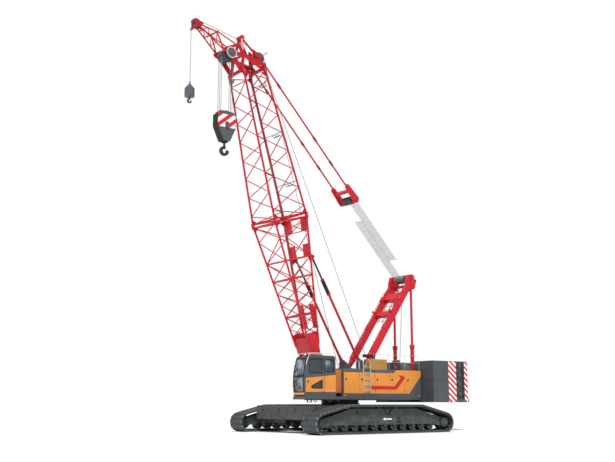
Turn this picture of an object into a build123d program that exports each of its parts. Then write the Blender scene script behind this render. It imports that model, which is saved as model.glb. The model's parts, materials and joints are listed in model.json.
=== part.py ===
from build123d import *

import math
import os

# Crawler crane with a lattice boom, a fixed tip jib and two hook blocks. Millimetres.
# +X points to the boom's side, +Y to the cab's side and +Z up. The origin lies on the
# ground under the slewing axis. A value that ends in _X, _Y or _Z is a place on that axis.

# ---- clearances
SEAT_GAP = 0.3          # between pieces that rest or turn on one another
PIN_GAP = 0.08          # radial play of a shaft in its bore
SIDE_GAP = 8.0          # beside a moving plate in its fork
DOOR_GAP = 6.0          # round the cab door

# ---- tracks
TRACK_Y = 3200.0        # centre line of each track
SHOE_WIDTH = 1100.0
SHOE_COUNT = 76
SHOE_THICK = 80.0
SHOE_JOINT = 14.0       # half of the opening between two shoes
SHOE_WEB = 26.0         # thickness of the shoe's plate at the joint
CHAIN_WIDTH = 440.0
CHAIN_DEPTH = 70.0
AXLE_X = 3970.0         # idler in front, sprocket at the rear
AXLE_Z = 500.0          # also the outer radius of the track round its ends
TRACK_CREST_X = 2300.0  # ends of the level upper run
TRACK_TOP_Z = 1400.0
WHEEL_WIDTH = 240.0
HUB_RADIUS = 200.0
AXLE_RADIUS = 85.0
ROLLER_COUNT = 11
ROLLER_RADIUS = 205.0
ROLLER_WIDTH = 380.0
ROLLER_SIDES = 24
ROLLER_PIN_RADIUS = 55.0
ROLLER_SPAN = 6200.0    # first to last lower roller

# ---- track frames
FRAME_HALF = 250.0      # half width of a track frame
FRAME_PLATE = 50.0
FRAME_FOOT_Z = 420.0
FRAME_TOP_Z = 1185.0
FRAME_BEAM_Z = 600.0    # underside of the box beam between the side plates
FRAME_BEAM_X = 3420.0
FRAME_END_RADIUS = 190.0

# ---- carbody and its ballast
BODY_HALF = 1350.0
BODY_FOOT_Z = 520.0
BODY_TOP_Z = 1290.0
CROSS_X = 1150.0        # centre of each cross beam
CROSS_WIDTH = 640.0
CROSS_FOOT_Z = 600.0
CROSS_TIP_TOP_Z = 1130.0
RING_SEAT_Z = 1300.0
RING_RADIUS = 1000.0
RING_BORE = 780.0
RING_TOOTH = 40.0
RING_TEETH = 60
RING_GEAR_HEIGHT = 130.0
BALLAST_X = 2500.0      # inner face
BALLAST_LENGTH = 1100.0
BALLAST_WIDTH = 5000.0
BALLAST_FOOT_Z = 660.0
BALLAST_TOP_Z = 1335.0
ARM_Y = 700.0           # centre of each ballast arm
ARM_WIDTH = 280.0
LUG_RADIUS = 55.0
LUG_PLACES = (-1960.0, -490.0, 960.0, 2390.0)

# ---- upper frame
DECK_Z = 1600.0         # underside of the slewing upperworks
FLOOR_THICK = 80.0
SILL_Z = 1640.0
DECK_TOP_Z = 1780.0
FRAME_REAR_X = -4300.0
FRAME_NOSE_X = 1850.0
FRAME_TAIL_X = -5300.0
FLOOR_HALF = 700.0
RIGHT_DECK_X = 2000.0    # front edge of the deck beside the boom foot
INNER_PLATE_Y = 405.0
PLATE_THICK = 62.0
PLATE_TOP_Z = 2300.0
HOUSE_REAR_X = -4350.0
HOUSE_FRONT_X = 1050.0
HOUSE_INNER_Y = 830.0
HOUSE_OUTER_Y = 1500.0
HOUSE_TOP_Z = 3170.0
HOUSE_WALL = 40.0
HOUSE_EDGE = 60.0
ENGINE_X = (-3200.0, -1500.0)
ENGINE_TOP_Z = 2700.0
ENGINE_GAP = 90.0       # to the house's walls
HOIST_WINCH_X = (-300.0, -1500.0)
LUFFING_WINCH_X = -2900.0
WINCH_Z = 2120.0
HOIST_DRUM_RADIUS = 260.0
LUFFING_DRUM_RADIUS = 240.0
DRUM_FLANGE = 110.0
FLANGE_THICK = 30.0

# ---- on the left house's roof and side
ROOF_BOX_X = (-1980.0, -820.0)
ROOF_BOX_Y = (930.0, 1440.0)
ROOF_BOX_HEIGHT = 540.0
PIPE_RADIUS = 75.0
PIPE_RISE = 170.0
COVER_X = (-3650.0, -3000.0)
COVER_HEIGHT = 430.0
CLEANER_X = -2880.0
CLEANER_RADIUS = 220.0
CLEANER_HEIGHT = 550.0
LADDER_X = (-710.0, -250.0)
LADDER_Z = (1930.0, 3440.0)
LADDER_OFF = 75.0       # rungs' distance from the house
RUNG_PITCH = 300.0
RUNG_RADIUS = 15.0

# ---- boom foot and luffing
FOOT_X = 1504.0
FOOT_Z = 2000.0
BOOM_ANGLE = 74.36
FOOT_PIN_RADIUS = 60.0
FOOT_EYE_RADIUS = 160.0
LEG_THICK = 120.0
LEG_HALF_DEPTH = 235.0   # of a foot leg where its plate starts to widen
LEG_INNER_Y = INNER_PLATE_Y + PLATE_THICK + SIDE_GAP
OUTER_PLATE_Y = LEG_INNER_Y + LEG_THICK + SIDE_GAP

# ---- boom: places along it (S) and the chord spacing there
LEG_END_S = 3100.0
BASE_START_S = 2600.0
JOINT_S = 9030.0
TOP_END_S = 16820.0
BASE_WIDTH, BASE_DEPTH = 1190.0, 630.0
JOINT_WIDTH, JOINT_DEPTH = 1990.0, 2040.0
TOP_WIDTH, TOP_DEPTH = 1380.0, 1350.0
TOP_SIZE_S = 16500.0
CHORD_RADIUS = 52.0
LACE_RADIUS = 26.0
TOP_PANELS = 7
TOP_LACE_GAP = 500.0    # from a section's end to the first regular node
BASE_NODES = (0.06, 0.13, 0.225, 0.33, 0.42, 0.525, 0.675, 0.86)  # shares of the foot section
BASE_FRAMES = (0.225, 0.525, 0.675)
REAR_PLATES = ((0.67, 0.775), (0.88, 0.985))
REAR_PLATE_WIDTH = 560.0

# ---- boom head and tip jib, in the boom's own frame (S along, N to the front)
HEAD_BOX = 150.0
HEAD_PLATE_Y = 470.0
HEAD_PLATE_THICK = 50.0
HEAD_AXLE = (17820.0, 1080.0)
HEAD_SHEAVE_RADIUS = 330.0
HEAD_SHEAVES = 5
HEAD_SHEAVE_PITCH = 150.0
SHEAVE_THICK = 70.0
SHEAVE_RIM = 8.0
ROPE_RADIUS = 14.0
SIDE_SHEAVE_RADIUS = 300.0
GUIDE_AXLE = (17600.0, -890.0)
GUIDE_RADIUS = 300.0
GUIDE_SHEAVES = 3
GUIDE_PITCH = 110.0
HEAD_MIDDLE = (17700.0, 337.0)
LINK_FOOT = (18262.0, 489.0)
LINK_Y = 345.0
LINK_PIN_RADIUS = 26.0
APEX = (18720.0, -60.0)
APEX_Y = 110.0
PENDANT_PIN = (17120.0, -800.0)
JIB_ROOT = (18040.0, 1380.0)
JIB_KNUCKLE = (19000.0, 1487.0)
JIB_TIP = (19420.0, 2390.0)
JIB_ROOT_Y = 380.0
JIB_KNUCKLE_Y = 280.0
JIB_TIP_Y = 150.0
JIB_CHORD = 42.0
TIP_SHEAVE_RADIUS = 290.0

# ---- suspension from the boom head to the gantry
PENDANT_WIDTH = 75.0
PENDANT_THICK = 45.0
PENDANT_EYE = 105.0
PENDANT_PIN_RADIUS = 50.0
BRIDLE_RUN = 8730.0     # pendant pin to the bridle's sheave axis
BRIDLE_PIN_RUN = 7900.0
SUSPENSION_SHEAVE = 230.0
SUSPENSION_SHEAVES = 7
SUSPENSION_PITCH = 95.0
ROPE_SHORT = 1250.0     # a rope layer ends this far from the other sheave's axis

# ---- gantry
GANTRY_X = -4490.0
GANTRY_Z = 8300.0
GANTRY_Y = 700.0
GANTRY_FOOT_X = -1050.0
GANTRY_FOOT_Z = 3250.0
GANTRY_LEG_DEPTH = 330.0
GANTRY_LEG_WIDTH = 200.0
GANTRY_EYE_WIDTH = 110.0
GANTRY_PIN_RADIUS = 60.0
PEDESTAL_PLATE = 40.0
PEDESTAL_SIDE_GAP = 5.0
BACK_LEG_X = -4500.0
BACK_LEG_RADIUS = 65.0
BACK_TUBE_RADIUS = 105.0
BACK_TUBE_TOP_Z = 4550.0
BACK_LEG_TOP_Z = 7700.0

# ---- boom backstops
STOP_X = -660.0
STOP_Z = 3620.0
STOP_END_X = 2397.0
STOP_END_Z = 8865.0
STOP_TUBE_RADIUS = 65.0
STOP_SLEEVE_RADIUS = 95.0
STOP_SLEEVE_RUN = (3905.0, 4760.0)
STOP_ROD_RADIUS = 48.0
STOP_ROD_START = 600.0
STOP_PIN_RADIUS = 40.0
STOP_EYE_RADIUS = 105.0
ROD_EYE_RADIUS = 70.0

# ---- cab
CAB_INNER_Y = 680.0
CAB_OUTER_Y = 1580.0
CAB_WALL = 50.0
CAB_REAR_X = 1550.0
CAB_ROOF_Z = 3800.0
CAB_NOSE_X = 3540.0
CAB_FRONT_FOOT_X = 3480.0
CAB_BROW_X = 3330.0
CAB_BROW_Z = 3690.0
DOOR_REAR_X = 2330.0
DOOR_FRONT_X = 3380.0
DOOR_FOOT_Z = 1880.0
DOOR_TOP_Z = 3680.0
GLASS_THICK = 10.0
HINGE_RADIUS = 20.0
HINGE_PIN_RADIUS = 9.0
HINGE_HEIGHT = 90.0

# ---- counterweight
WEIGHT_FRONT_X = -4450.0
WEIGHT_REAR_X = -7050.0
WEIGHT_OUTER_Y = 2350.0
WEIGHT_INNER_Y = 900.0
WEIGHT_FOOT_Z = 1500.0
TRAY_THICK = 180.0
TRAY_OVERHANG = 70.0
WEIGHT_TOP_Z = 3700.0
SLABS = 4
SLAB_GROOVE = 14.0
RECESS_X = -6480.0
RECESS_WIDTH = 580.0
RECESS_DEPTH = 110.0

# ---- hooks
HOIST_FALLS = (-1, 0, 1)  # the head sheaves that carry a pair of falls
BLOCK_TOP_Z = 15850.0
BLOCK_CAP_HEIGHT = 170.0
BLOCK_SHOULDER = 620.0   # from under the cap down to the slanted edges
BLOCK_HEIGHT = 1350.0
BLOCK_COLLAR = 60.0
BLOCK_WIDTH = 1060.0
BLOCK_THICK = 500.0
HOOK_HEIGHT = 690.0
HOOK_THICK = 130.0
HOOK_BOWL = 0.36         # outer radius of a hook's bowl, as a share of the hook's height
HOOK_THROAT = 0.46       # inner radius, as a share of the outer one
AUX_ROPE_X = 9380.0
AUX_TOP_Z = 16900.0
AUX_HEIGHT = 650.0
AUX_RADIUS = 250.0
AUX_HOOK_HEIGHT = 330.0
AUX_HOOK_THICK = 70.0
BLOCK_CAP_Z = BLOCK_TOP_Z - BLOCK_CAP_HEIGHT
BLOCK_FOOT_Z = BLOCK_CAP_Z - BLOCK_HEIGHT
HOOK_TOP_Z = BLOCK_FOOT_Z - BLOCK_COLLAR - SEAT_GAP
AUX_FOOT_Z = AUX_TOP_Z - AUX_HEIGHT
AUX_HOOK_TOP_Z = AUX_FOOT_Z - SEAT_GAP

os.makedirs("parts", exist_ok=True)


# ---------------------------------------------------------------- helpers

def save(name, *shapes):
    """Writes one sub-part, made of one or more solids, to its own file."""
    solids = [solid for shape in shapes for solid in shape.solids()]
    part = solids[0] if len(solids) == 1 else Compound(children=solids)
    part.label = name
    export_step(part, f"parts/{name}.step")


def join(shapes):
    """Fuses a list of shapes into one."""
    shapes = list(shapes)
    return shapes[0].fuse(*shapes[1:]) if len(shapes) > 1 else shapes[0]


def block(x, y, z):
    """A box from pairs of limits."""
    size = [abs(b - a) for a, b in (x, y, z)]
    middle = [(a + b) / 2 for a, b in (x, y, z)]
    return Pos(*middle) * Box(*size)


def both(shape):
    """A shape and its mirror image across the crane's middle plane."""
    return [shape, mirror(shape, about=Plane.XZ)]


def side_plate(outline, y, inset=0.0):
    """A closed outline in X and Z, moved in by an inset, as a plate between two Y limits."""
    low, high = sorted(y)
    face = make_face(Polyline(*outline, close=True))
    if inset:
        face = offset(face, amount=-inset, kind=Kind.INTERSECTION)
    plane = Plane(origin=(0, high, 0), x_dir=(1, 0, 0), z_dir=(0, -1, 0))
    return extrude(plane * face, amount=high - low)


def front_plate(outline, x):
    """A closed outline in Y and Z, as a plate between two X limits."""
    low, high = sorted(x)
    plane = Plane(origin=(low, 0, 0), x_dir=(0, 1, 0), z_dir=(1, 0, 0))
    return extrude(plane * make_face(Polyline(*outline, close=True)), amount=high - low)


def pin_y(x, z, radius, y):
    """A round pin along Y."""
    low, high = sorted(y)
    return Pos(x, (low + high) / 2, z) * Rot(90, 0, 0) * Cylinder(radius, high - low)


def pin_z(x, y, radius, z):
    """A round pin along Z."""
    low, high = sorted(z)
    return Pos(x, y, (low + high) / 2) * Cylinder(radius, high - low)


def bar(start, end, radius, sides=6, extra=0.0):
    """A straight bar of a regular section between two points, longer by extra at both ends."""
    start, end = Vector(*start), Vector(*end)
    run = end - start
    plane = Plane(origin=start - run.normalized() * extra, z_dir=run)
    section = Circle(radius) if sides == 0 else RegularPolygon(radius, sides)
    return extrude(plane * section, amount=run.length + 2 * extra)


class Run:
    """The frame of a straight member in the vertical plane: S along it, N across it."""

    def __init__(self, x, z, angle):
        self.x, self.z = x, z
        self.cos, self.sin = math.cos(math.radians(angle)), math.sin(math.radians(angle))

    def at(self, s, n, y=0.0):
        """The point at S and N as X, Y, Z."""
        return (self.x + s * self.cos + n * self.sin, y, self.z + s * self.sin - n * self.cos)

    def plane(self, y):
        return Plane(origin=(self.x, y, self.z), x_dir=(self.cos, 0, self.sin), z_dir=(0, 1, 0))

    def plate(self, outline, y):
        """A closed outline in S and N, as a plate between two Y limits."""
        low, high = sorted(y)
        return extrude(self.plane(low) * make_face(Polyline(*outline, close=True)), amount=high - low)

    def link(self, rounds, y):
        """The tight outline round some circles (S, N, radius), as a plate between two Y limits."""
        low, high = sorted(y)
        edges = [edge for s, n, r in rounds for edge in (Pos(s, n) * Circle(r)).edges()]
        return extrude(self.plane(low) * make_hull(edges), amount=high - low)

    def pin(self, s, n, radius, y):
        x, _, z = self.at(s, n)
        return pin_y(x, z, radius, y)

    def block(self, s, n, y):
        outline = [(s[0], n[0]), (s[1], n[0]), (s[1], n[1]), (s[0], n[1])]
        return self.plate(outline, y)


LEVEL = Run(0, 0, 0)    # S is X, and N is minus Z


def eye_bar(run, length, width, eye, bore, y):
    """A flat bar along a run from its origin, with a bored round eye at each end."""
    body = run.link([(0, 0, width / 2), (length, 0, width / 2)], y)
    for s in (0, length):
        body = body + run.pin(s, 0, eye, y)
    for s in (0, length):
        body = body - run.pin(s, 0, bore, (y[0] - 1, y[1] + 1))
    return body


def sheave(run, s, n, radius, y, thick, bore):
    """A rope sheave with a V groove, turned about an axis along Y."""
    half, groove = thick / 2, thick / 2 - SHEAVE_RIM
    profile = [(bore, -half), (radius, -half), (radius, -groove), (radius - groove, 0),
               (radius, groove), (radius, half), (bore, half)]
    turned = revolve(make_face(Polyline(*profile, close=True)), axis=Axis.Y)
    x, _, z = run.at(s, n)
    return Pos(x, y, z) * turned


def rope_seat(radius):
    """How far a rope's centre lies from the axis of the sheave that it runs over."""
    groove = SHEAVE_THICK / 2 - SHEAVE_RIM
    return radius - groove + ROPE_RADIUS * math.sqrt(2) + SEAT_GAP


# ---------------------------------------------------------------- tracks

def track_path(distance):
    """A point on the pitch line and the direction out of the loop, by the way along it."""
    radius = AXLE_Z - SHOE_THICK
    crest_z = TRACK_TOP_Z - SHOE_THICK
    to_crest = math.hypot(AXLE_X - TRACK_CREST_X, crest_z - AXLE_Z)
    slope_length = math.sqrt(to_crest ** 2 - radius ** 2)
    turn = (math.atan2(crest_z - AXLE_Z, TRACK_CREST_X - AXLE_X)
            - math.acos(radius / to_crest) + math.pi / 2)
    half = [AXLE_X, radius * turn, slope_length, TRACK_CREST_X]
    if distance is None:
        return 2 * sum(half)
    distance %= 2 * sum(half)
    mirrored = distance > sum(half)
    if mirrored:
        distance = 2 * sum(half) - distance
    if distance <= half[0]:
        point, normal = (distance, AXLE_Z - radius), (0.0, -1.0)
    elif distance <= half[0] + half[1]:
        angle = (distance - half[0]) / radius - math.pi / 2
        normal = (math.cos(angle), math.sin(angle))
        point = (AXLE_X + radius * normal[0], AXLE_Z + radius * normal[1])
    elif distance <= sum(half[:3]):
        angle = turn - math.pi / 2
        normal = (math.cos(angle), math.sin(angle))
        along = distance - half[0] - half[1]
        point = (AXLE_X + radius * normal[0] - along * normal[1],
                 AXLE_Z + radius * normal[1] + along * normal[0])
    else:
        point, normal = (sum(half) - distance, crest_z), (0.0, 1.0)
    if mirrored:
        return (-point[0], point[1]), (-normal[0], normal[1])
    return point, normal


def make_track(y):
    """One track as a fixed loop: flat shoes outside, and the narrower chain inside."""
    length = track_path(None)
    joints = [track_path((i + 0.5) * length / SHOE_COUNT) for i in range(SHOE_COUNT)]
    shoes, web, chain = [], [], []
    for i, ((x, z), (nx, nz)) in enumerate(joints):
        (x2, z2), _ = joints[(i + 1) % SHOE_COUNT]
        run = math.hypot(x2 - x, z2 - z)
        tx, tz = (x2 - x) / run, (z2 - z) / run
        out_x, out_z = tz, -tx
        for along in (SHOE_JOINT, run - SHOE_JOINT):
            shoes.append((x + along * tx + SHOE_THICK * out_x, z + along * tz + SHOE_THICK * out_z))
        shoes.append((x2, z2))
        web.append((x - SHOE_WEB * nx, z - SHOE_WEB * nz))
        chain.append((x - CHAIN_DEPTH * nx, z - CHAIN_DEPTH * nz))
    half = SHOE_WIDTH / 2
    outside = side_plate(shoes, (y - half, y + half))
    wide = outside - side_plate(web, (y - half - 1, y + half + 1))
    half = CHAIN_WIDTH / 2
    pitch = [point for point, _ in joints]
    narrow = side_plate(pitch, (y - half, y + half)) - side_plate(chain, (y - half - 1, y + half + 1))
    return wide + narrow


def wheel_radius():
    """The largest wheel that turns inside the chain's straight links at a track's end."""
    radius = AXLE_Z - SHOE_THICK - CHAIN_DEPTH
    half_link = track_path(None) / SHOE_COUNT / 2 / (AXLE_Z - SHOE_THICK)
    return radius * math.cos(half_link) - SEAT_GAP


def make_track_frame(y):
    """A box beam between two side plates that carry the wheels, rollers and skid rail."""
    rise = FRAME_END_RADIUS
    outline = [(-AXLE_X - rise, AXLE_Z - rise / 2), (-AXLE_X, AXLE_Z - rise),
               (-FRAME_BEAM_X + 250, FRAME_FOOT_Z), (FRAME_BEAM_X - 250, FRAME_FOOT_Z),
               (AXLE_X, AXLE_Z - rise), (AXLE_X + rise, AXLE_Z - rise / 2),
               (AXLE_X + rise, AXLE_Z + rise / 2), (AXLE_X, AXLE_Z + rise),
               (TRACK_CREST_X - 150, FRAME_TOP_Z), (-TRACK_CREST_X + 150, FRAME_TOP_Z),
               (-AXLE_X, AXLE_Z + rise), (-AXLE_X - rise, AXLE_Z + rise / 2)]
    inner, outer = FRAME_HALF - FRAME_PLATE, FRAME_HALF
    plates = [side_plate(outline, (y + side * inner, y + side * outer)) for side in (-1, 1)]
    beam = [(-FRAME_BEAM_X, FRAME_BEAM_Z), (FRAME_BEAM_X, FRAME_BEAM_Z), (FRAME_BEAM_X, AXLE_Z + rise),
            (TRACK_CREST_X - 150, FRAME_TOP_Z), (-TRACK_CREST_X + 150, FRAME_TOP_Z),
            (-FRAME_BEAM_X, AXLE_Z + rise)]
    middle = side_plate(beam, (y - inner, y + inner))
    chain_z = TRACK_TOP_Z - SHOE_THICK - CHAIN_DEPTH - SEAT_GAP
    skid = block((-TRACK_CREST_X + 320, TRACK_CREST_X - 320), (y - 60, y + 60), (FRAME_TOP_Z - 20, chain_z))
    frame = join([*plates, middle, skid])
    for x in (-AXLE_X, AXLE_X):
        frame -= pin_y(x, AXLE_Z, AXLE_RADIUS + PIN_GAP, (y - 400, y + 400))
    for x in roller_places():
        frame -= pin_y(x, roller_z(), ROLLER_PIN_RADIUS + PIN_GAP, (y - 400, y + 400))
    return frame


def roller_places():
    step = ROLLER_SPAN / (ROLLER_COUNT - 1)
    return [i * step - ROLLER_SPAN / 2 for i in range(ROLLER_COUNT)]


def roller_z():
    return SHOE_THICK + CHAIN_DEPTH + SEAT_GAP + ROLLER_RADIUS


def make_rollers(y):
    """The lower rollers, each on its own pin in the frame's side plates."""
    half, pin_half = ROLLER_WIDTH / 2, FRAME_HALF + 25
    wheel = bar((0, -half, 0), (0, half, 0), ROLLER_RADIUS, ROLLER_SIDES)
    pin = bar((0, -pin_half, 0), (0, pin_half, 0), ROLLER_PIN_RADIUS, 12)
    roller = wheel + pin
    return [Pos(x, y, roller_z()) * roller for x in roller_places()]


def make_idler(y, side):
    """The front wheel, plain rimmed, on its axle."""
    half = WHEEL_WIDTH / 2
    wheel = pin_y(AXLE_X, AXLE_Z, wheel_radius(), (y - half, y + half))
    wheel -= pin_y(AXLE_X, AXLE_Z, wheel_radius() - 70, (y + half - 40, y + half + 1))
    wheel -= pin_y(AXLE_X, AXLE_Z, wheel_radius() - 70, (y - half - 1, y - half + 40))
    reach = FRAME_HALF + 40
    return join([wheel, pin_y(AXLE_X, AXLE_Z, AXLE_RADIUS, (y - reach, y + reach)),
                 pin_y(AXLE_X, AXLE_Z, 130, (y - half, y + half)),
                 pin_y(AXLE_X, AXLE_Z, 120, (y + side * (FRAME_HALF + SEAT_GAP), y + side * reach))])


def make_sprocket(y, side):
    """The toothed drive wheel at the rear with its round final drive outside."""
    half = WHEEL_WIDTH / 2
    teeth = 12
    root, tip = wheel_radius() - 45, wheel_radius()
    outline = []
    for i in range(teeth):
        for share, radius in ((0.0, root), (0.28, root), (0.42, tip), (0.86, tip)):
            angle = 2 * math.pi * (i + share) / teeth
            outline.append((-AXLE_X + radius * math.cos(angle), AXLE_Z + radius * math.sin(angle)))
    reach = FRAME_HALF + 120
    return join([side_plate(outline, (y - half, y + half)),
                 pin_y(-AXLE_X, AXLE_Z, AXLE_RADIUS, (y - FRAME_HALF - 30, y + FRAME_HALF + 30)),
                 pin_y(-AXLE_X, AXLE_Z, HUB_RADIUS, (y + side * (FRAME_HALF + SEAT_GAP), y + side * reach))])


# ---------------------------------------------------------------- carbody

def make_carbody():
    corner = 320.0
    half = BODY_HALF
    outline = [(-half, -half + corner), (-half + corner, -half), (half - corner, -half), (half, -half + corner),
               (half, half - corner), (half - corner, half), (-half + corner, half), (-half, half - corner)]
    centre = extrude(Plane.XY.offset(BODY_FOOT_Z) * make_face(Polyline(*outline, close=True)),
                     amount=BODY_TOP_Z - BODY_FOOT_Z)
    seat = pin_z(0, 0, RING_RADIUS + 60, (BODY_TOP_Z - 10, RING_SEAT_Z))
    tip_y = TRACK_Y - FRAME_HALF
    cross = [(-tip_y, CROSS_FOOT_Z + 40), (-half, CROSS_FOOT_Z - 60), (half, CROSS_FOOT_Z - 60),
             (tip_y, CROSS_FOOT_Z + 40), (tip_y, CROSS_TIP_TOP_Z), (half, BODY_TOP_Z - 20),
             (-half, BODY_TOP_Z - 20), (-tip_y, CROSS_TIP_TOP_Z)]
    pieces = [centre, seat]
    for x in (-CROSS_X, CROSS_X):
        pieces.append(front_plate(cross, (x - CROSS_WIDTH / 2, x + CROSS_WIDTH / 2)))
        sign = math.copysign(1, x)
        for arm_y in (-ARM_Y, ARM_Y):
            pieces.append(block(sorted((sign * (half - 100), sign * BALLAST_X)),
                                (arm_y - ARM_WIDTH / 2, arm_y + ARM_WIDTH / 2),
                                (BALLAST_FOOT_Z - 60, BALLAST_TOP_Z - 220)))
    return join(pieces) - pin_z(0, 0, 300, (RING_SEAT_Z - 400, RING_SEAT_Z + 1))


def make_slew_ring():
    """The fixed half of the slewing bearing, with its gear teeth outside."""
    outline = []
    for i in range(RING_TEETH):
        for share, radius in ((0.0, RING_RADIUS - RING_TOOTH), (0.3, RING_RADIUS - RING_TOOTH),
                              (0.45, RING_RADIUS), (0.85, RING_RADIUS)):
            angle = 2 * math.pi * (i + share) / RING_TEETH
            outline.append((radius * math.cos(angle), radius * math.sin(angle)))
    gear = extrude(Plane.XY.offset(RING_SEAT_Z) * make_face(Polyline(*outline, close=True)),
                   amount=RING_GEAR_HEIGHT)
    race = pin_z(0, 0, RING_RADIUS - RING_TOOTH - 30, (RING_SEAT_Z, DECK_Z - SEAT_GAP))
    return gear + race - pin_z(0, 0, RING_BORE, (RING_SEAT_Z - 1, DECK_Z + 1))


def make_ballast(sign):
    """A ballast box across the carbody's end, with round lifting lugs on its outer face."""
    outer = BALLAST_X + BALLAST_LENGTH
    body = block(sorted((sign * BALLAST_X, sign * outer)), (-BALLAST_WIDTH / 2, BALLAST_WIDTH / 2),
                 (BALLAST_FOOT_Z, BALLAST_TOP_Z))
    body = chamfer(body.edges().filter_by(Axis.Y).group_by(Axis.Z)[-1], 25)
    lug_z = BALLAST_TOP_Z - 200
    lugs = []
    for y in LUG_PLACES:
        start, end = sorted((sign * (outer - 10), sign * (outer + 70)))
        lugs.append(bar((start, y, lug_z), (end, y, lug_z), LUG_RADIUS, 0))
    return join([body, *lugs])


# ---------------------------------------------------------------- upper frame

def make_upper_frame():
    """The floor plate, the two long beams with the boom's forks, and the side decks."""
    floor = block((FRAME_REAR_X, FRAME_NOSE_X), (-FLOOR_HALF, FLOOR_HALF), (DECK_Z, DECK_Z + FLOOR_THICK))
    base_z = DECK_Z + FLOOR_THICK
    long_plate = [(FRAME_TAIL_X, base_z), (FRAME_NOSE_X, base_z), (FRAME_NOSE_X, FOOT_Z - 60),
                  (FOOT_X + 150, FOOT_Z + 170), (FOOT_X - 200, FOOT_Z + 190), (FOOT_X - 500, PLATE_TOP_Z),
                  (FRAME_TAIL_X, PLATE_TOP_Z)]
    short_plate = [(FOOT_X - 700, base_z), (FRAME_NOSE_X, base_z), (FRAME_NOSE_X, FOOT_Z - 60),
                   (FOOT_X + 150, FOOT_Z + 170), (FOOT_X - 200, FOOT_Z + 190)]
    pieces = [floor]
    pieces += both(side_plate(long_plate, (INNER_PLATE_Y, INNER_PLATE_Y + PLATE_THICK)))
    pieces += both(side_plate(short_plate, (OUTER_PLATE_Y, OUTER_PLATE_Y + PLATE_THICK)))
    pieces += both(pin_y(FOOT_X, FOOT_Z, FOOT_PIN_RADIUS, (INNER_PLATE_Y, OUTER_PLATE_Y + PLATE_THICK + 10)))
    for start, end in ((FRAME_NOSE_X - 90, FRAME_NOSE_X), (FRAME_REAR_X, FRAME_REAR_X + 90),
                       (FRAME_TAIL_X, FRAME_TAIL_X + 90)):
        pieces.append(block((start, end), (-INNER_PLATE_Y - 10, INNER_PLATE_Y + 10), (base_z, FOOT_Z - 60)))
    pieces += both(block((FRAME_REAR_X, HOUSE_FRONT_X + 10), (FLOOR_HALF - 10, HOUSE_OUTER_Y),
                         (SILL_Z, DECK_TOP_Z)))
    pieces.append(block((HOUSE_FRONT_X, CAB_FRONT_FOOT_X), (CAB_INNER_Y, CAB_OUTER_Y), (SILL_Z, DECK_TOP_Z)))
    pieces.append(block((HOUSE_FRONT_X, RIGHT_DECK_X), (-HOUSE_OUTER_Y, -CAB_INNER_Y), (SILL_Z, DECK_TOP_Z)))
    pieces += both(make_pedestal())
    pieces += both(make_back_bracket())
    return join(pieces)


def pedestal_sides():
    """The Y limits of the two plates that fork the gantry leg and the backstop."""
    half = GANTRY_EYE_WIDTH / 2 + PEDESTAL_SIDE_GAP
    return [(GANTRY_Y - half - PEDESTAL_PLATE, GANTRY_Y - half), (GANTRY_Y + half, GANTRY_Y + half + PEDESTAL_PLATE)]


def make_pedestal():
    """Two upright plates with the gantry's foot pin and the backstop's pin."""
    base_z = DECK_Z + 10
    body = [(GANTRY_FOOT_X - 380, base_z), (GANTRY_FOOT_X + 480, base_z), (STOP_X + 120, STOP_Z - 60),
            (STOP_X + 60, STOP_Z + 105), (STOP_X - 60, STOP_Z + 105), (GANTRY_FOOT_X - 60, GANTRY_FOOT_Z + 200),
            (GANTRY_FOOT_X - 200, GANTRY_FOOT_Z + 60)]
    pieces = [side_plate(body, y) for y in pedestal_sides()]
    low, high = pedestal_sides()[0][0], pedestal_sides()[1][1]
    pieces.append(pin_y(STOP_X, STOP_Z, STOP_PIN_RADIUS, (low - 10, high + 10)))
    pieces.append(block((GANTRY_FOOT_X - 200, GANTRY_FOOT_X + 200), (low, high), (base_z, GANTRY_FOOT_Z - 700)))
    return join(pieces) - pin_y(GANTRY_FOOT_X, GANTRY_FOOT_Z, GANTRY_PIN_RADIUS + PIN_GAP, (low - 1, high + 1))


def make_back_bracket():
    """The block at the frame's rear that a back leg stands on."""
    outline = [(BACK_LEG_X - 200, PLATE_TOP_Z - 500), (BACK_LEG_X + 140, PLATE_TOP_Z - 500),
               (BACK_LEG_X + 140, PLATE_TOP_Z), (BACK_LEG_X - 200, PLATE_TOP_Z)]
    return side_plate(outline, (INNER_PLATE_Y + 10, GANTRY_Y + BACK_TUBE_RADIUS + 10))


def make_house(sign):
    """A machinery house: a sheet cover, open below, standing on its deck."""
    y = sorted((sign * HOUSE_INNER_Y, sign * HOUSE_OUTER_Y))
    cover = block((HOUSE_REAR_X, HOUSE_FRONT_X), y, (DECK_TOP_Z, HOUSE_TOP_Z))
    cover = fillet(cover.edges().filter_by(Axis.X).group_by(Axis.Z)[-1], HOUSE_EDGE)
    wall = HOUSE_WALL
    inside = block((HOUSE_REAR_X + wall, HOUSE_FRONT_X - wall), (y[0] + wall, y[1] - wall),
                   (DECK_TOP_Z - 1, HOUSE_TOP_Z - wall))
    return cover - inside


def make_winch(x, z, drum_radius):
    """A winch drum with its two flanges on a shaft between the frame's long plates."""
    half, shaft, flange = INNER_PLATE_Y - SEAT_GAP, 60, drum_radius + DRUM_FLANGE
    outer, inner = half - FLANGE_THICK, half - 2 * FLANGE_THICK
    profile = [(0, -half), (shaft, -half), (shaft, -outer), (flange, -outer), (flange, -inner),
               (drum_radius, -inner), (drum_radius, inner), (flange, inner), (flange, outer),
               (shaft, outer), (shaft, half), (0, half)]
    return Pos(x, 0, z) * revolve(make_face(Polyline(*profile, close=True)), axis=Axis.Y)


def make_roof_box():
    """The box on the left house's roof that covers the silencer."""
    box = block(ROOF_BOX_X, ROOF_BOX_Y, (HOUSE_TOP_Z, HOUSE_TOP_Z + ROOF_BOX_HEIGHT))
    return chamfer(box.edges().group_by(Axis.Z)[-1], 20)


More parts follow.
